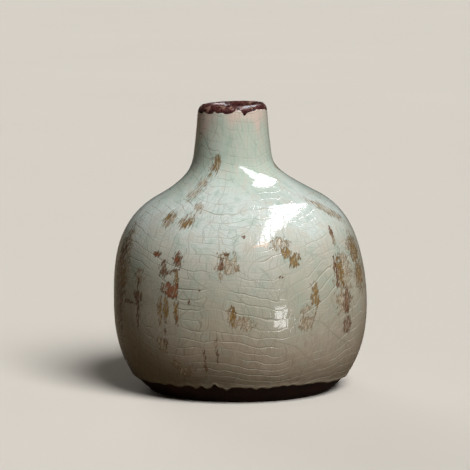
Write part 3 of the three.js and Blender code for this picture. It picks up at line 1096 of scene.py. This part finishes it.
    def hairs(self, put: Callable, spots: Spots, every: Socket) -> Socket:
        """Draw the finest cracks, upright ones and level ones, in patches.

        Args:
            put: Adds a node.
            spots: The unrolled coordinates and the bends.
            every: The cracks drawn so far.

        Returns:
            All the cracks.
        """
        hairs = (spots["turn"], self.belly_radius, 9.0, 11.0), (spots["run"], 1.0, 7.0, 14.0)
        for along, scale, wander, size in hairs:
            count = put("Math", {0: along, 1: scale / self.hair_spacing}, operation="MULTIPLY")
            count = put("Math", {0: spots["ripple"], 1: wander, 2: count}, operation="MULTIPLY_ADD")
            away = put("Math", {0: count, 1: 0.5}, operation="PINGPONG")
            hair = put("MapRange", {0: away, 1: 0.24, 2: 0.02, 4: 0.3})
            patch = self.patchy(put, spots["place"], size, 0.1)
            hair = put("Math", {0: hair, 1: patch}, operation="MULTIPLY")
            hair = put("Math", {0: hair, 1: spots["wide"]}, operation="MULTIPLY")
            every = put("Math", {0: every, 1: hair}, operation="MAXIMUM")
        return every

    def cracks(self, put: Callable, spots: Spots) -> Spots:
        """Draw the crackle: long rows, rungs between them, slanted veins and fine hairs.

        Args:
            put: Adds a node.
            spots: The unrolled coordinates.

        Returns:
            How strong the rows and rungs are, the sides that catch the light as a painted highlight, the dark
            colour with painted shade that grows towards the left, and all the cracks, with the ripple that
            bends them.
        """
        sweep = put("TexNoise", {"Vector": spots["place"], "Scale": 1 / self.sweep_size, "Detail": 1.5})
        ripple = put("TexNoise", {"Vector": spots["place"], "Scale": 1 / self.ripple_size, "Detail": 1.5})
        spots = {**spots, "sweep": sweep, "ripple": ripple}
        count, rows, lit = self.rows(put, spots)
        low, high = self.fine_fade
        spots["wide"] = put("MapRange", {0: spots["radius"], 1: low, 2: high})
        ladder = put("Math", {0: rows, 1: self.rungs(put, spots, count)}, operation="MAXIMUM")
        every = self.hairs(put, spots, self.veins(put, spots, ladder))
        # Painted shade: the cracks' dark colour is stronger towards the left, away from the light.
        dark = put("MapRange", {0: spots["turn"], 1: -self.painted_shading_flank, 2: self.painted_shading_flank, 3: 0.75, 4: 0.45})
        dark = put("Math", {0: every, 1: dark}, operation="MULTIPLY")
        return {"ladder": ladder, "lit": lit, "dark": dark, "all": every, "ripple": ripple}

    def patches(self, put: Callable, plan: Socket, stains: tuple[Stain, ...]) -> Socket:
        """Mark where some stains lie.

        Args:
            put: Adds a node.
            plan: The unrolled place, warped a little so that no edge is smooth.
            stains: The stains.

        Returns:
            Their strength at each place, falling from the middle of each to nothing beyond its edge.
        """
        laid, total = {}, None
        for stain in stains:
            if stain.slant not in laid:
                laid[stain.slant] = put("Mapping", {0: plan, 2: (0, 0, -math.radians(stain.slant.value))})
            middle = Vector((math.radians(stain.turn) * self.belly_radius, stain.height, 0))
            middle.rotate(Euler((0, 0, -math.radians(stain.slant.value))))
            size = (1 / (self.bloom * stain.half_width), 1 / (self.bloom * stain.half_height), 0)
            settings = {0: laid[stain.slant], 1: size, 2: (-middle.x * size[0], -middle.y * size[1], 0)}
            moved = put("VectorMath", settings, operation="MULTIPLY_ADD")
            away = put("VectorMath", {0: moved}, "Value", operation="LENGTH")
            settings = {0: away, 1: -self.bloom * stain.strength, 2: self.bloom * stain.strength}
            mark = put("Math", settings, operation="MULTIPLY_ADD")
            total = mark if total is None else put("Math", {0: total, 1: mark}, operation="MAXIMUM")
        return total

    def glass(self, put: Callable, spots: Spots) -> Socket:
        """Colour the glaze: bluer where it pooled, browner where it is thin over the clay, with painted shade
        that darkens it towards the foot and on the neck, and painted light on the shoulder.

        Args:
            put: Adds a node.
            spots: The unrolled coordinates.

        Returns:
            The colour.
        """
        cloud = put("TexNoise", {"Vector": spots["place"], "Scale": 1 / self.cloud_size, "Detail": 4.0})
        swing = put("MapRange", {0: cloud, 1: 0.3, 2: 0.7, 3: -self.cloud_reach, 4: self.cloud_reach})
        level = put("Math", {0: spots["height"], 1: swing}, operation="ADD")
        # Painted shade and light by height, from the colour bands.
        glass = linear(self.bands_with_painted_shade[0][1])
        for (low, _), (high, colour) in zip(self.bands_with_painted_shade[:-1], self.bands_with_painted_shade[1:]):
            share = put("MapRange", {0: level, 1: low, 2: high})
            glass = put("Mix", {0: share, 6: glass, 7: linear(colour)}, 2, data_type="RGBA")
        settings = {"Vector": spots["place"], "Scale": 1 / self.mottle_size, "Detail": 4.0, "Roughness": 0.6}
        mottle = put("TexNoise", settings)
        low, high = self.mottle_fade
        high_up = put("MapRange", {0: spots["height"], 1: low, 2: high, 3: 0.2, 4: 0.55})
        milk = put("MapRange", {0: mottle, 1: 0.5, 2: 0.72})
        milk = put("Math", {0: milk, 1: high_up}, operation="MULTIPLY")
        glass = put("Mix", {0: milk, 6: glass, 7: linear(self.milky)}, 2, data_type="RGBA")
        water = put("MapRange", {0: mottle, 1: 0.48, 2: 0.3})
        water = put("Math", {0: water, 1: high_up}, operation="MULTIPLY")
        return put("Mix", {0: water, 6: glass, 7: linear(self.watery)}, 2, data_type="RGBA")

    def stain(self, put: Callable, spots: Spots, colour: Socket, lines: Socket) -> Socket:
        """Lay the iron stains over the glaze, in ragged leaning strokes with dark outlines and dark cracks;
        the cream kind adds a painted warm reflection.

        Args:
            put: Adds a node.
            spots: The unrolled coordinates.
            colour: Colour of the glaze.
            lines: Strength of its cracks.

        Returns:
            The colour with the stains.
        """
        push = Vector((self.fray_reach, self.fray_reach, 0))
        fray = put("TexNoise", {"Vector": spots["place"], "Scale": 1 / self.fray_size, "Detail": 3.0}, 1)
        fray = put("VectorMath", {0: fray, 1: push, 2: -push / 2}, operation="MULTIPLY_ADD")
        plan = put("VectorMath", {0: spots["plan"], 1: fray}, operation="ADD")
        lean, stretch = (0, 0, -math.radians(self.stroke_lean)), (1, self.stroke_stretch, 1)
        upright = put("Mapping", {0: spots["plan"], 2: lean, 3: stretch}, vector_type="TEXTURE")
        settings = {"Vector": upright, "Scale": 1 / self.stroke_size, "Detail": 3.0, "Roughness": 0.62}
        strokes = put("TexNoise", settings)
        ragged = put("MapRange", {0: strokes, 1: 0.3, 2: 0.7, 3: -0.8, 4: 0.5}, clamp=False)
        thin = put("MapRange", {0: strokes, 1: 0.4, 2: 0.52, 3: 0.3, 4: 1.0})
        settings = {"Vector": upright, "Scale": 1 / self.net_size}
        net = put("TexVoronoi", settings, "Distance", feature="DISTANCE_TO_EDGE")
        net = put("MapRange", {0: net, 1: 0.2, 2: 0.02}, interpolation_type="SMOOTHSTEP")
        net = put("Math", {0: net, 1: thin}, operation="MULTIPLY")
        scratches = put("Math", {0: strokes, 1: 0.5, 2: 0.018}, operation="COMPARE")
        lines = put("Math", {0: net, 1: lines}, operation="MAXIMUM")
        lines = put("Math", {0: scratches, 1: lines}, operation="MAXIMUM")
        # The cream bleed lays a painted warm reflection below the large highlight, in front.
        for bleed in (LACE, UMBER, OCHRE, RUST, CREAM_AND_PAINTED_GLEAM):
            mask = self.patches(put, plan, bleed.stains)
            reach = put("Math", {0: mask, 1: ragged}, operation="ADD")
            middle = put("MapRange", {0: reach, 1: 0.3, 2: 0.6})
            tint = put("Mix", {0: middle, 6: linear(bleed.edge), 7: linear(bleed.fill)}, 2, data_type="RGBA")
            fill = put("MapRange", {0: reach, 1: 0.12, 2: 0.5, 4: bleed.opacity})
            fill = put("Math", {0: fill, 1: thin}, operation="MULTIPLY")
            colour = put("Mix", {0: fill, 6: colour, 7: tint}, 2, data_type="RGBA")
            near = put("MapRange", {0: reach, 1: 0.1, 2: 0.35, 4: bleed.threads})
            threads = put("Math", {0: near, 1: lines}, operation="MULTIPLY")
            colour = put("Mix", {0: threads, 6: colour, 7: linear(bleed.edge)}, 2, data_type="RGBA")
        return colour

    def make(self) -> bpy.types.Material:
        """Build the material.

        Returns:
            The material.
        """
        material, put, shader, position = self.start()
        spots = self.flatten(put, position)
        cracks = self.cracks(put, spots)
        glass = self.glass(put, spots)
        # Painted highlight on the cracks' lit sides, then the cracks' dark colour with its painted shade.
        light_side = put("Math", {0: cracks["lit"], 1: 0.6}, operation="MULTIPLY")
        colour = put("Mix", {0: light_side, 6: glass, 7: linear(self.glint)}, 2, data_type="RGBA")
        colour = put("Mix", {0: cracks["dark"], 6: colour, 7: linear(self.craze)}, 2, data_type="RGBA")
        colour = self.stain(put, spots, colour, cracks["all"])
        settings = {0: cracks["ripple"], 1: 0.3, 2: 0.7, 3: self.roughness * 0.7, 4: self.roughness * 1.4}
        gloss = put("MapRange", settings)
        gloss = put("Math", {0: cracks["all"], 1: 0.15, 2: gloss}, operation="MULTIPLY_ADD")
        orange_peel = put("TexNoise", {"Vector": position, "Scale": 1 / self.peel_size, "Detail": 1.0})
        relief = put("Math", {0: cracks["ladder"], 1: -0.7, 2: orange_peel}, operation="MULTIPLY_ADD")
        bump = put("Bump", {"Height": relief, "Strength": 0.9, "Distance": self.relief})
        return self.join(material, shader, Base_Color=colour, Roughness=gloss, Normal=bump)


@dataclass(frozen=True)
class IronLipWash(Finish):
    """An iron-brown wash brushed thickly on the lip: melted glossy and lumpy, and pinkish where it is thin.

    Attributes:
        thick: Colour where it lies thickest.
        brown: Colour where it is thinner.
        thin: Colour where the clay shows through.
        pooled: Colour of the painted shade along the lip's lower edge, where the light from above doesn't
            reach.
        lump_size: Size of its lumps in mm.
        wear_size: Size of its thin spots in mm.
        lip_shade_top: Height in mm below which the painted shade begins.
        lip_shade_full: Height in mm where the painted shade is darkest.
    """

    name: str = "iron_lip_wash"
    roughness: float = 0.24
    ior: float = 1.55
    thick: str = "#301415"
    brown: str = "#5c3531"
    thin: str = "#b8907e"
    pooled: str = "#260f10"
    lump_size: float = 1.8
    wear_size: float = 2.857
    lip_shade_top: float = 113.0
    lip_shade_full: float = 111.2

    def make(self) -> bpy.types.Material:
        """Build the material.

        Returns:
            The material.
        """
        material, put, shader, position = self.start()
        lumps = put("TexNoise", {"Vector": position, "Scale": 1 / self.lump_size, "Detail": 3.0})
        pools = put("MapRange", {0: lumps, 1: 0.35, 2: 0.62}, interpolation_type="SMOOTHSTEP")
        colour = put("Mix", {0: pools, 6: linear(self.thick), 7: linear(self.brown)}, 2, data_type="RGBA")
        settings = {"Vector": position, "Scale": 1 / self.wear_size, "Detail": 4.0, "Roughness": 0.65}
        wear = put("TexNoise", settings)
        bare = put("MapRange", {0: wear, 1: 0.52, 2: 0.68, 4: 0.75}, interpolation_type="SMOOTHSTEP")
        colour = put("Mix", {0: bare, 6: colour, 7: linear(self.thin)}, 2, data_type="RGBA")
        # Painted shade: the wash darkens towards the lip's lower edge, away from the light above.
        height = put("SeparateXYZ", {0: position}, "Z")
        painted_lip_shade = put("MapRange", {0: height, 1: self.lip_shade_top, 2: self.lip_shade_full, 4: 0.8})
        colour = put("Mix", {0: painted_lip_shade, 6: colour, 7: linear(self.pooled)}, 2, data_type="RGBA")
        settings = {0: wear, 1: 0.3, 2: 0.7, 3: self.roughness * 0.7, 4: self.roughness * 1.7}
        gloss = put("MapRange", settings)
        bump = put("Bump", {"Height": lumps, "Strength": 0.8, "Distance": 0.25 * MM})
        return self.join(material, shader, Base_Color=colour, Roughness=gloss, Normal=bump)


@dataclass(frozen=True)
class SatinLiner(Finish):
    """A thin liner glaze poured round the inside and emptied: satin, pinkish beige over the clay.

    Attributes:
        pale: Colour where it is thick.
        dark: Colour where it ran thin.
        pool: Colour of what gathered on the floor.
        cloud_size: Size of its drips in mm.
        pool_top: Height in mm below which the pool's colour begins.
        pool_full: Height in mm where it is full.
    """

    name: str = "liner_glaze"
    roughness: float = 0.34
    ior: float = 1.5
    pale: str = "#ad9082"
    dark: str = "#7a5c50"
    pool: str = "#8d8a72"
    cloud_size: float = 6.25
    pool_top: float = 16.0
    pool_full: float = 8.0

    def make(self) -> bpy.types.Material:
        """Build the material.

        Returns:
            The material.
        """
        material, put, shader, position = self.start()
        drips = put("VectorMath", {0: position, 1: (1, 1, 0.3)}, operation="MULTIPLY")
        settings = {"Vector": drips, "Scale": 1 / self.cloud_size, "Detail": 5.0, "Roughness": 0.6}
        cloud = put("TexNoise", settings)
        spread = put("MapRange", {0: cloud, 1: 0.35, 2: 0.65})
        colour = put("Mix", {0: spread, 6: linear(self.dark), 7: linear(self.pale)}, 2, data_type="RGBA")
        height = put("SeparateXYZ", {0: position}, "Z")
        settings = {0: height, 1: self.pool_top, 2: self.pool_full}
        pooled = put("MapRange", settings, interpolation_type="SMOOTHSTEP")
        colour = put("Mix", {0: pooled, 6: colour, 7: linear(self.pool)}, 2, data_type="RGBA")
        settings = {0: cloud, 1: 0.3, 2: 0.7, 3: self.roughness * 0.8, 4: self.roughness * 1.3}
        gloss = put("MapRange", settings)
        bump = put("Bump", {"Height": cloud, "Strength": 0.5, "Distance": 0.15 * MM})
        return self.join(material, shader, Base_Color=colour, Roughness=gloss, Normal=bump)


@dataclass(frozen=True)
class StudioPaper(Finish):
    """Seamless backdrop paper: matt and pale, with the faintest cloudiness.

    Attributes:
        pale: Its darker colour.
        paler: Its lighter colour.
        cloud_size: Size of its clouds in mm.
        sheen: How strongly it mirrors: not at all, or up to one.
    """

    name: str = "studio_paper"
    roughness: float = 0.9
    ior: float = 1.45
    pale: str = "#d6d0c7"
    paler: str = "#dad4cb"
    cloud_size: float = 250.0
    sheen: float = 0.0

    def make(self) -> bpy.types.Material:
        """Build the material.

        Returns:
            The material.
        """
        material, put, shader, position = self.start()
        cloud = put("TexNoise", {"Vector": position, "Scale": 1 / self.cloud_size, "Detail": 3.0})
        colour = put("Mix", {0: cloud, 6: linear(self.pale), 7: linear(self.paler)}, 2, data_type="RGBA")
        shader.inputs["Specular IOR Level"].default_value = self.sheen
        return self.join(material, shader, Base_Color=colour)


@dataclass(frozen=True)
class StainedBoard(StudioPaper):
    """Planed board stained dark brown and left matt: its bounce warms the shaded side of the glaze."""

    name: str = "stained_board"
    pale: str = "#594c3a"
    paler: str = "#60523f"
    sheen: float = 0.5


@dataclass(frozen=True)
class Diffuser(Finish):
    """White cloth over a softbox: an even, slightly cool glow."""

    name: str = "softbox_cloth"
    colour: str = "#f6faff"
    glow: float = 12.0

    def make(self) -> bpy.types.Material:
        """Build the material.

        Returns:
            The material.
        """
        material, _, shader, _ = self.start()
        shader.inputs["Base Color"].default_value = (0, 0, 0, 1)
        shader.inputs["Emission Color"].default_value = linear(self.colour)
        shader.inputs["Emission Strength"].default_value = self.glow
        return material


# Pieces


@dataclass
class ThrownVessel:
    """The stoneware body: turned foot ring and recess below, then the whole face that the glaze covers.

    Attributes:
        base: The form and its coats.
        finish: What it is made of.
        turning_depth: Depth of the turning lines on the foot and in its recess.
        turning_spacing: Distance between these lines on the foot; in the recess it is twice as long.
        recess_steps: How many points the recess's flat takes, and how many its round.
        marks: Unevenness left by the hand.
    """

    base: Thrown
    finish: FiredStoneware = FiredStoneware()
    turning_depth: float = 0.05 * MM
    turning_spacing: float = 0.9 * MM
    recess_steps: int = 16
    marks: tuple[HandMarks, ...] = (HandMarks(0.12 * MM, 9 * MM, 2.5 * MM, 3.7),)

    def make(self) -> bpy.types.Object:
        """Build and dress the piece.

        Returns:
            The piece.
        """
        base, ends = self.base, self.base.outline.ends
        sheet = Sheet()
        radius, height = base.outline.underside(self.recess_steps)
        turned = self.turning_depth * np.sin(radius[1:] * 2 * math.pi / self.turning_spacing / 2)
        height[1:] += np.where(height[1:] > 0.1 * MM, turned, 0)
        middle, *rings = zip(radius, height)
        under = [base.lean.stand(*middle, np.zeros(1))]
        under += [base.lean.stand(*ring, base.angles) for ring in rings]
        sheet.lay(under, 0.02, 0.30)
        bare_top = base.coats.foot_line.place
        bare = base.rows((0, bare_top), (30,))
        lift = -self.turning_depth * (0.5 + 0.5 * np.sin(bare * 2 * math.pi / self.turning_spacing))
        sheet.lay(base.skin(bare, lift * np.minimum(1, bare / (0.5 * MM)), self.marks), 0.32, 0.70)
        stops = [bare_top, *list(ends.values())[:-1], ends["centre"] - base.last_ring]
        hidden = base.rows(stops, (12, 22, 20, 6, 14, 18, 16, 6, 3))[1:]
        sheet.lay(base.skin(hidden), 0.71, 0.98)
        sheet.lay([base.lean.stand(0.0, base.outline.floor_height, np.zeros(1))], 0.99, 0.99)
        return settle(sheet.mesh("stoneware_vessel"), Piece.CLAY, self.finish.make())


@dataclass
class CeladonCoat:
    """The outer glaze, from the ragged line above the foot to the ragged line under the lip.

    Attributes:
        base: The form and its coats.
        finish: What it is made of.
        marks: Unevenness left by the dipping.
        marks_fade: How far below the lip line that unevenness begins to fade.
        foot_edge: How far above the foot line its closest rows reach.
        lip_edge: How far below the lip line they begin again.
    """

    base: Thrown
    finish: CrackleCeladon = CrackleCeladon()
    marks: tuple[HandMarks, ...] = (
        HandMarks(0.1 * MM, 16 * MM, 11 * MM, 11.3),
        HandMarks(0.04 * MM, 5 * MM, 3.2 * MM, 27.1),
    )
    marks_fade: float = 2 * MM
    foot_edge: float = 0.8 * MM
    lip_edge: float = 2.5 * MM

    def make(self) -> bpy.types.Object:
        """Build and dress the piece.

        Returns:
            The piece.
        """
        base, ends, coats = self.base, self.base.outline.ends, self.base.coats
        start, end = coats.foot_line.place, coats.lip_line.place
        belly, shoulder, neck = ends["belly"], ends["shoulder"], ends["neck"]
        near_foot = (start, start + self.foot_edge, start + coats.roll_width)
        stops = (*near_foot, belly, shoulder, neck, end - self.lip_edge, end)
        rows = base.rows(stops, (8, 10, 40, 74, 56, 20, 14))
        hold = np.minimum(1, (end - rows) / self.marks_fade)
        sheet = Sheet()
        sheet.lay(base.skin(rows, coats.thickness(rows), self.marks, hold), 0.03, 0.99)
        sheet.lay(base.skin(base.rows((end, neck, belly, start), (8, 30, 12))), 0.0, 0.02)
        return settle(sheet.mesh("celadon_coat"), Piece.CELADON, self.finish.make())


@dataclass
class LipCoat:
    """The iron wash over the rolled lip, with one drip in front.

    Attributes:
        base: The form and its coats.
        finish: What it is made of.
        marks: Its lumps.
        marks_fade: How far from its edges they begin to fade.
        outside: How far its closest rows reach from its lower edge.
    """

    base: Thrown
    finish: IronLipWash = IronLipWash()
    marks: tuple[HandMarks, ...] = (HandMarks(0.13 * MM, 2.6 * MM, 2.0 * MM, 5.9),)
    marks_fade: float = 0.7 * MM
    outside: float = 8 * MM

    def make(self) -> bpy.types.Object:
        """Build and dress the piece.

        Returns:
            The piece.
        """
        base, coats = self.base, self.base.coats
        start, end = coats.lip_line.place, coats.mouth_line.place
        rows = base.rows((start, start + self.outside, end), (60, 16))
        hold = np.clip(np.minimum(rows - start, end - rows) / self.marks_fade, 0, 1)
        sheet = Sheet()
        sheet.lay(base.skin(rows, coats.thickness(rows), self.marks, hold), 0.03, 0.99)
        sheet.lay(base.skin(base.rows((end, start), (24,))), 0.0, 0.02)
        return settle(sheet.mesh("lip_wash"), Piece.LIP, self.finish.make())


@dataclass
class LinerCoat:
    """The glaze that lines the mouth, the wall and the floor.

    Attributes:
        base: The form and its coats.
        finish: What it is made of.
        marks: Unevenness left by the pouring.
        marks_fade: How far from its upper edge that unevenness begins to fade.
    """

    base: Thrown
    finish: SatinLiner = SatinLiner()
    marks: tuple[HandMarks, ...] = (HandMarks(0.16 * MM, 12 * MM, 8 * MM, 41.7),)
    marks_fade: float = 3 * MM

    def make(self) -> bpy.types.Object:
        """Build and dress the piece.

        Returns:
            The piece.
        """
        base, ends, coats = self.base, self.base.outline.ends, self.base.coats
        start, last = coats.mouth_line.place, ends["centre"] - base.last_ring
        shoulder, foot, corner = ends["inner_shoulder"], ends["inner_foot"], ends["corner_end"]
        stops = (start, start + self.marks_fade, shoulder, foot, corner, last)
        rows = base.rows(stops, (8, 34, 40, 14, 8))
        hold = np.clip((rows - start) / self.marks_fade, 0, 1)
        floor = base.outline.floor_height
        sheet = Sheet()
        sheet.lay(base.skin(rows, coats.thickness(rows), self.marks, hold), 0.03, 0.98)
        level = floor + coats.liner - self.marks[0].depth / 2
        sheet.lay([base.lean.stand(0.0, level, np.zeros(1))], 0.99, 0.99)
        sheet.lay([base.lean.stand(0.0, floor, np.zeros(1))], 0.0, 0.0)
        seated = base.rows((last, corner, foot, shoulder, start), (3, 6, 16, 16))
        sheet.lay(base.skin(seated), 0.001, 0.02)
        return settle(sheet.mesh("liner_coat"), Piece.LINER, self.finish.make())


# Studio


@dataclass(frozen=True)
class SoftLamp:
    """A broad lamp far off.

    Attributes:
        name: Its name in the scene.
        turn: Where it stands, from the front to the right, in degrees.
        elevation: How high it stands above the level, in degrees.
        power: How strongly it shines.
    """

    name: str
    turn: float
    elevation: float
    power: float


@dataclass
class Studio:
    """Pale floor, soft overhead light and the camera, set at the photograph's viewing angle.

    Attributes:
        floor_reach: Radius of the floor.
        sweep_start: How far from the vase the paper starts to sweep up.
        sweep: How fast it rises there, with the square of the distance.
        board_depth: How far the brown board lies under the paper.
        aim: Height of the point that the camera looks at.
        camera_distance: How far the camera stands from that point.
        camera_elevation: How far down it looks, in degrees.
        camera_aside: How far it is moved to the right, to frame the vase as the photograph does.
        camera_up: How far it is moved up, for the same reason.
        field_of_view: Angle that it takes in from side to side, in degrees.
        far_limit: How far it sees.
        shoulder: Height in which the glaze mirrors the softbox.
        softbox_height: How far above that height the softbox hangs.
        softbox_corners: Where its corners hang, in shares of softbox_height.
        lamps: The soft lamps.
        lamp_softness: How broad they look from the vase, in degrees.
        low_size: Width and height of the low panel.
        low_power: Its power.
        low_place: Where its middle stands.
        low_target: The point on the belly that it faces.
        room_colour: Colour of the light that fills the room.
        room_glow: Its strength.
    """

    floor_reach: float = 14.0
    sweep_start: float = 4.5
    sweep: float = 0.08
    board_depth: float = 0.5 * MM
    aim: float = 57.5 * MM
    camera_distance: float = 1.137
    camera_elevation: float = 7.5
    camera_aside: float = -2.15 * MM
    camera_up: float = 3.7 * MM
    field_of_view: float = 9.5
    far_limit: float = 50.0
    shoulder: float = 75 * MM
    softbox_height: float = 1.2
    softbox_corners: tuple[tuple[float, float], ...] = (
        (0.21, 0.31), (0.325, 0.21), (0.41, -1.12), (0.61, -1.1), (0.66, 1.03)
    )
    lamps: tuple[SoftLamp, ...] = (SoftLamp("key_light", 34, 48, 3.7), SoftLamp("back_light", 200, 12, 1.3))
    lamp_softness: float = 32.0
    low_size: tuple[float, float] = (0.035, 0.033)
    low_power: float = 0.03
    low_place: tuple[float, float, float] = (0.106, -0.171, 0.015)
    low_target: tuple[float, float, float] = (0.0145, -0.0475, 0.036)
    room_colour: str = "#e2dfc4"
    room_glow: float = 0.025

    def panel(
        self, name: str, points: np.ndarray, faces: list[list[int]], finish: bpy.types.Material
    ) -> bpy.types.Object:
        """Add a mesh that isn't part of the vase.

        Args:
            name: Name of the new object.
            points: Its points.
            faces: Its faces.
            finish: Its material.

        Returns:
            The object.
        """
        data = bpy.data.meshes.new(name)
        data.from_pydata(points.tolist(), [], faces)
        data.materials.append(finish)
        thing = bpy.data.objects.new(name, data)
        bpy.context.scene.collection.objects.link(thing)
        return thing

    def floor(self) -> None:
        """Lay paper, swept up far away, which only the camera sees, over a board that the glaze mirrors."""
        count, columns = 24, 96
        turn = np.linspace(0, 2 * math.pi, columns, endpoint=False)
        reach = self.floor_reach * np.linspace(1, 0, count)[:-1] ** 3
        rings = [np.stack([r * np.cos(turn), r * np.sin(turn), np.zeros(columns)], -1) for r in reach]
        faces = []
        for row in range(count - 2):
            for column in range(columns):
                here, there = row * columns, (row + 1) * columns
                after = (column + 1) % columns
                faces.append([here + column, here + after, there + after, there + column])
        last, middle = (count - 2) * columns, (count - 1) * columns
        faces += [[last + column, last + (column + 1) % columns, middle] for column in range(columns)]
        points = np.vstack([*rings, np.zeros((1, 3))])
        beyond = np.clip(np.hypot(points[:, 0], points[:, 1]) - self.sweep_start, 0, None)
        swept = points + np.stack([0 * beyond, 0 * beyond, self.sweep * beyond**2], -1)
        paper = self.panel("floor", swept, faces, StudioPaper().make())
        paper.data.shade_smooth()
        paper.visible_diffuse = paper.visible_glossy = paper.visible_shadow = False
        board = self.panel("board", points - (0, 0, self.board_depth), faces, StainedBoard().make())
        board.visible_camera = False

    def softbox(self) -> None:
        """Hang the overhead softbox, which the camera doesn't see except in the glaze."""
        corners = np.array([(x, y, 1.0) for x, y in self.softbox_corners])
        points = corners * self.softbox_height + (0, 0, self.shoulder)
        box = self.panel("overhead_softbox", points, [list(range(len(points)))], Diffuser().make())
        box.visible_camera = False
        box.visible_diffuse = False
        box.visible_shadow = False

    def soft_lamps(self) -> None:
        """Shine the soft lamps, which shade the form; what the glaze mirrors is the softbox."""
        for soft in self.lamps:
            turn, elevation = math.radians(soft.turn), math.radians(soft.elevation)
            flat = math.cos(elevation)
            way = Vector((math.sin(turn) * flat, -math.cos(turn) * flat, math.sin(elevation)))
            data = bpy.data.lights.new(soft.name, "SUN")
            data.angle = math.radians(self.lamp_softness)
            data.energy = soft.power
            lamp = bpy.data.objects.new(soft.name, data)
            lamp.location = way
            lamp.rotation_euler = (-way).to_track_quat("-Z", "Y").to_euler()
            lamp.visible_camera = False
            lamp.visible_glossy = False
            bpy.context.scene.collection.objects.link(lamp)

    def low_lamp(self) -> None:
        """Stand a small panel low at the right, for the small bright patch on the belly."""
        data = bpy.data.lights.new("low_panel", "AREA")
        data.shape = "RECTANGLE"
        data.size, data.size_y = self.low_size
        data.energy = self.low_power
        lamp = bpy.data.objects.new("low_panel", data)
        lamp.location = self.low_place
        painted_light_facing = Vector(self.low_target) - lamp.location
        lamp.rotation_euler = painted_light_facing.to_track_quat("-Z", "Y").to_euler()
        lamp.visible_camera = False
        lamp.visible_diffuse = False
        bpy.context.scene.collection.objects.link(lamp)

    def room(self) -> None:
        """Fill the room with a weak even light."""
        world = bpy.data.worlds.new("room")
        world.use_nodes = True
        glow = world.node_tree.nodes["Background"]
        glow.inputs["Color"].default_value = linear(self.room_colour)
        glow.inputs["Strength"].default_value = self.room_glow
        bpy.context.scene.world = world

    def camera(self) -> None:
        """Stand the camera where the photograph was taken from."""
        tilt = math.radians(self.camera_elevation)
        data = bpy.data.cameras.new("camera")
        data.sensor_fit = "HORIZONTAL"
        data.angle = math.radians(self.field_of_view)
        data.clip_end = self.far_limit
        camera = bpy.data.objects.new("camera", data)
        back = Vector((0, -math.cos(tilt), math.sin(tilt))) * self.camera_distance
        up = Vector((0, math.sin(tilt), math.cos(tilt))) * self.camera_up
        camera.location = Vector((self.camera_aside, 0, self.aim)) + back + up
        camera.rotation_euler = (math.pi / 2 - tilt, 0, 0)
        bpy.context.scene.collection.objects.link(camera)
        bpy.context.scene.camera = camera


def main() -> None:
    """Build the pieces in order and report each, then the studio."""
    logging.basicConfig(level=logging.INFO, format="%(name)s: %(message)s")
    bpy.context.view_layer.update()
    base = Thrown()
    for part in (ThrownVessel(base), CeladonCoat(base), LipCoat(base), LinerCoat(base)):
        piece = part.make()
        LOG.info("%s: %d faces, %s", piece.name, len(piece.data.polygons), part.finish.name)
    studio = Studio()
    studio.floor()
    studio.softbox()
    studio.soft_lamps()
    studio.low_lamp()
    studio.room()
    studio.camera()
    bpy.context.scene.view_settings.view_transform = "Standard"


if __name__ == "__main__":
    main()
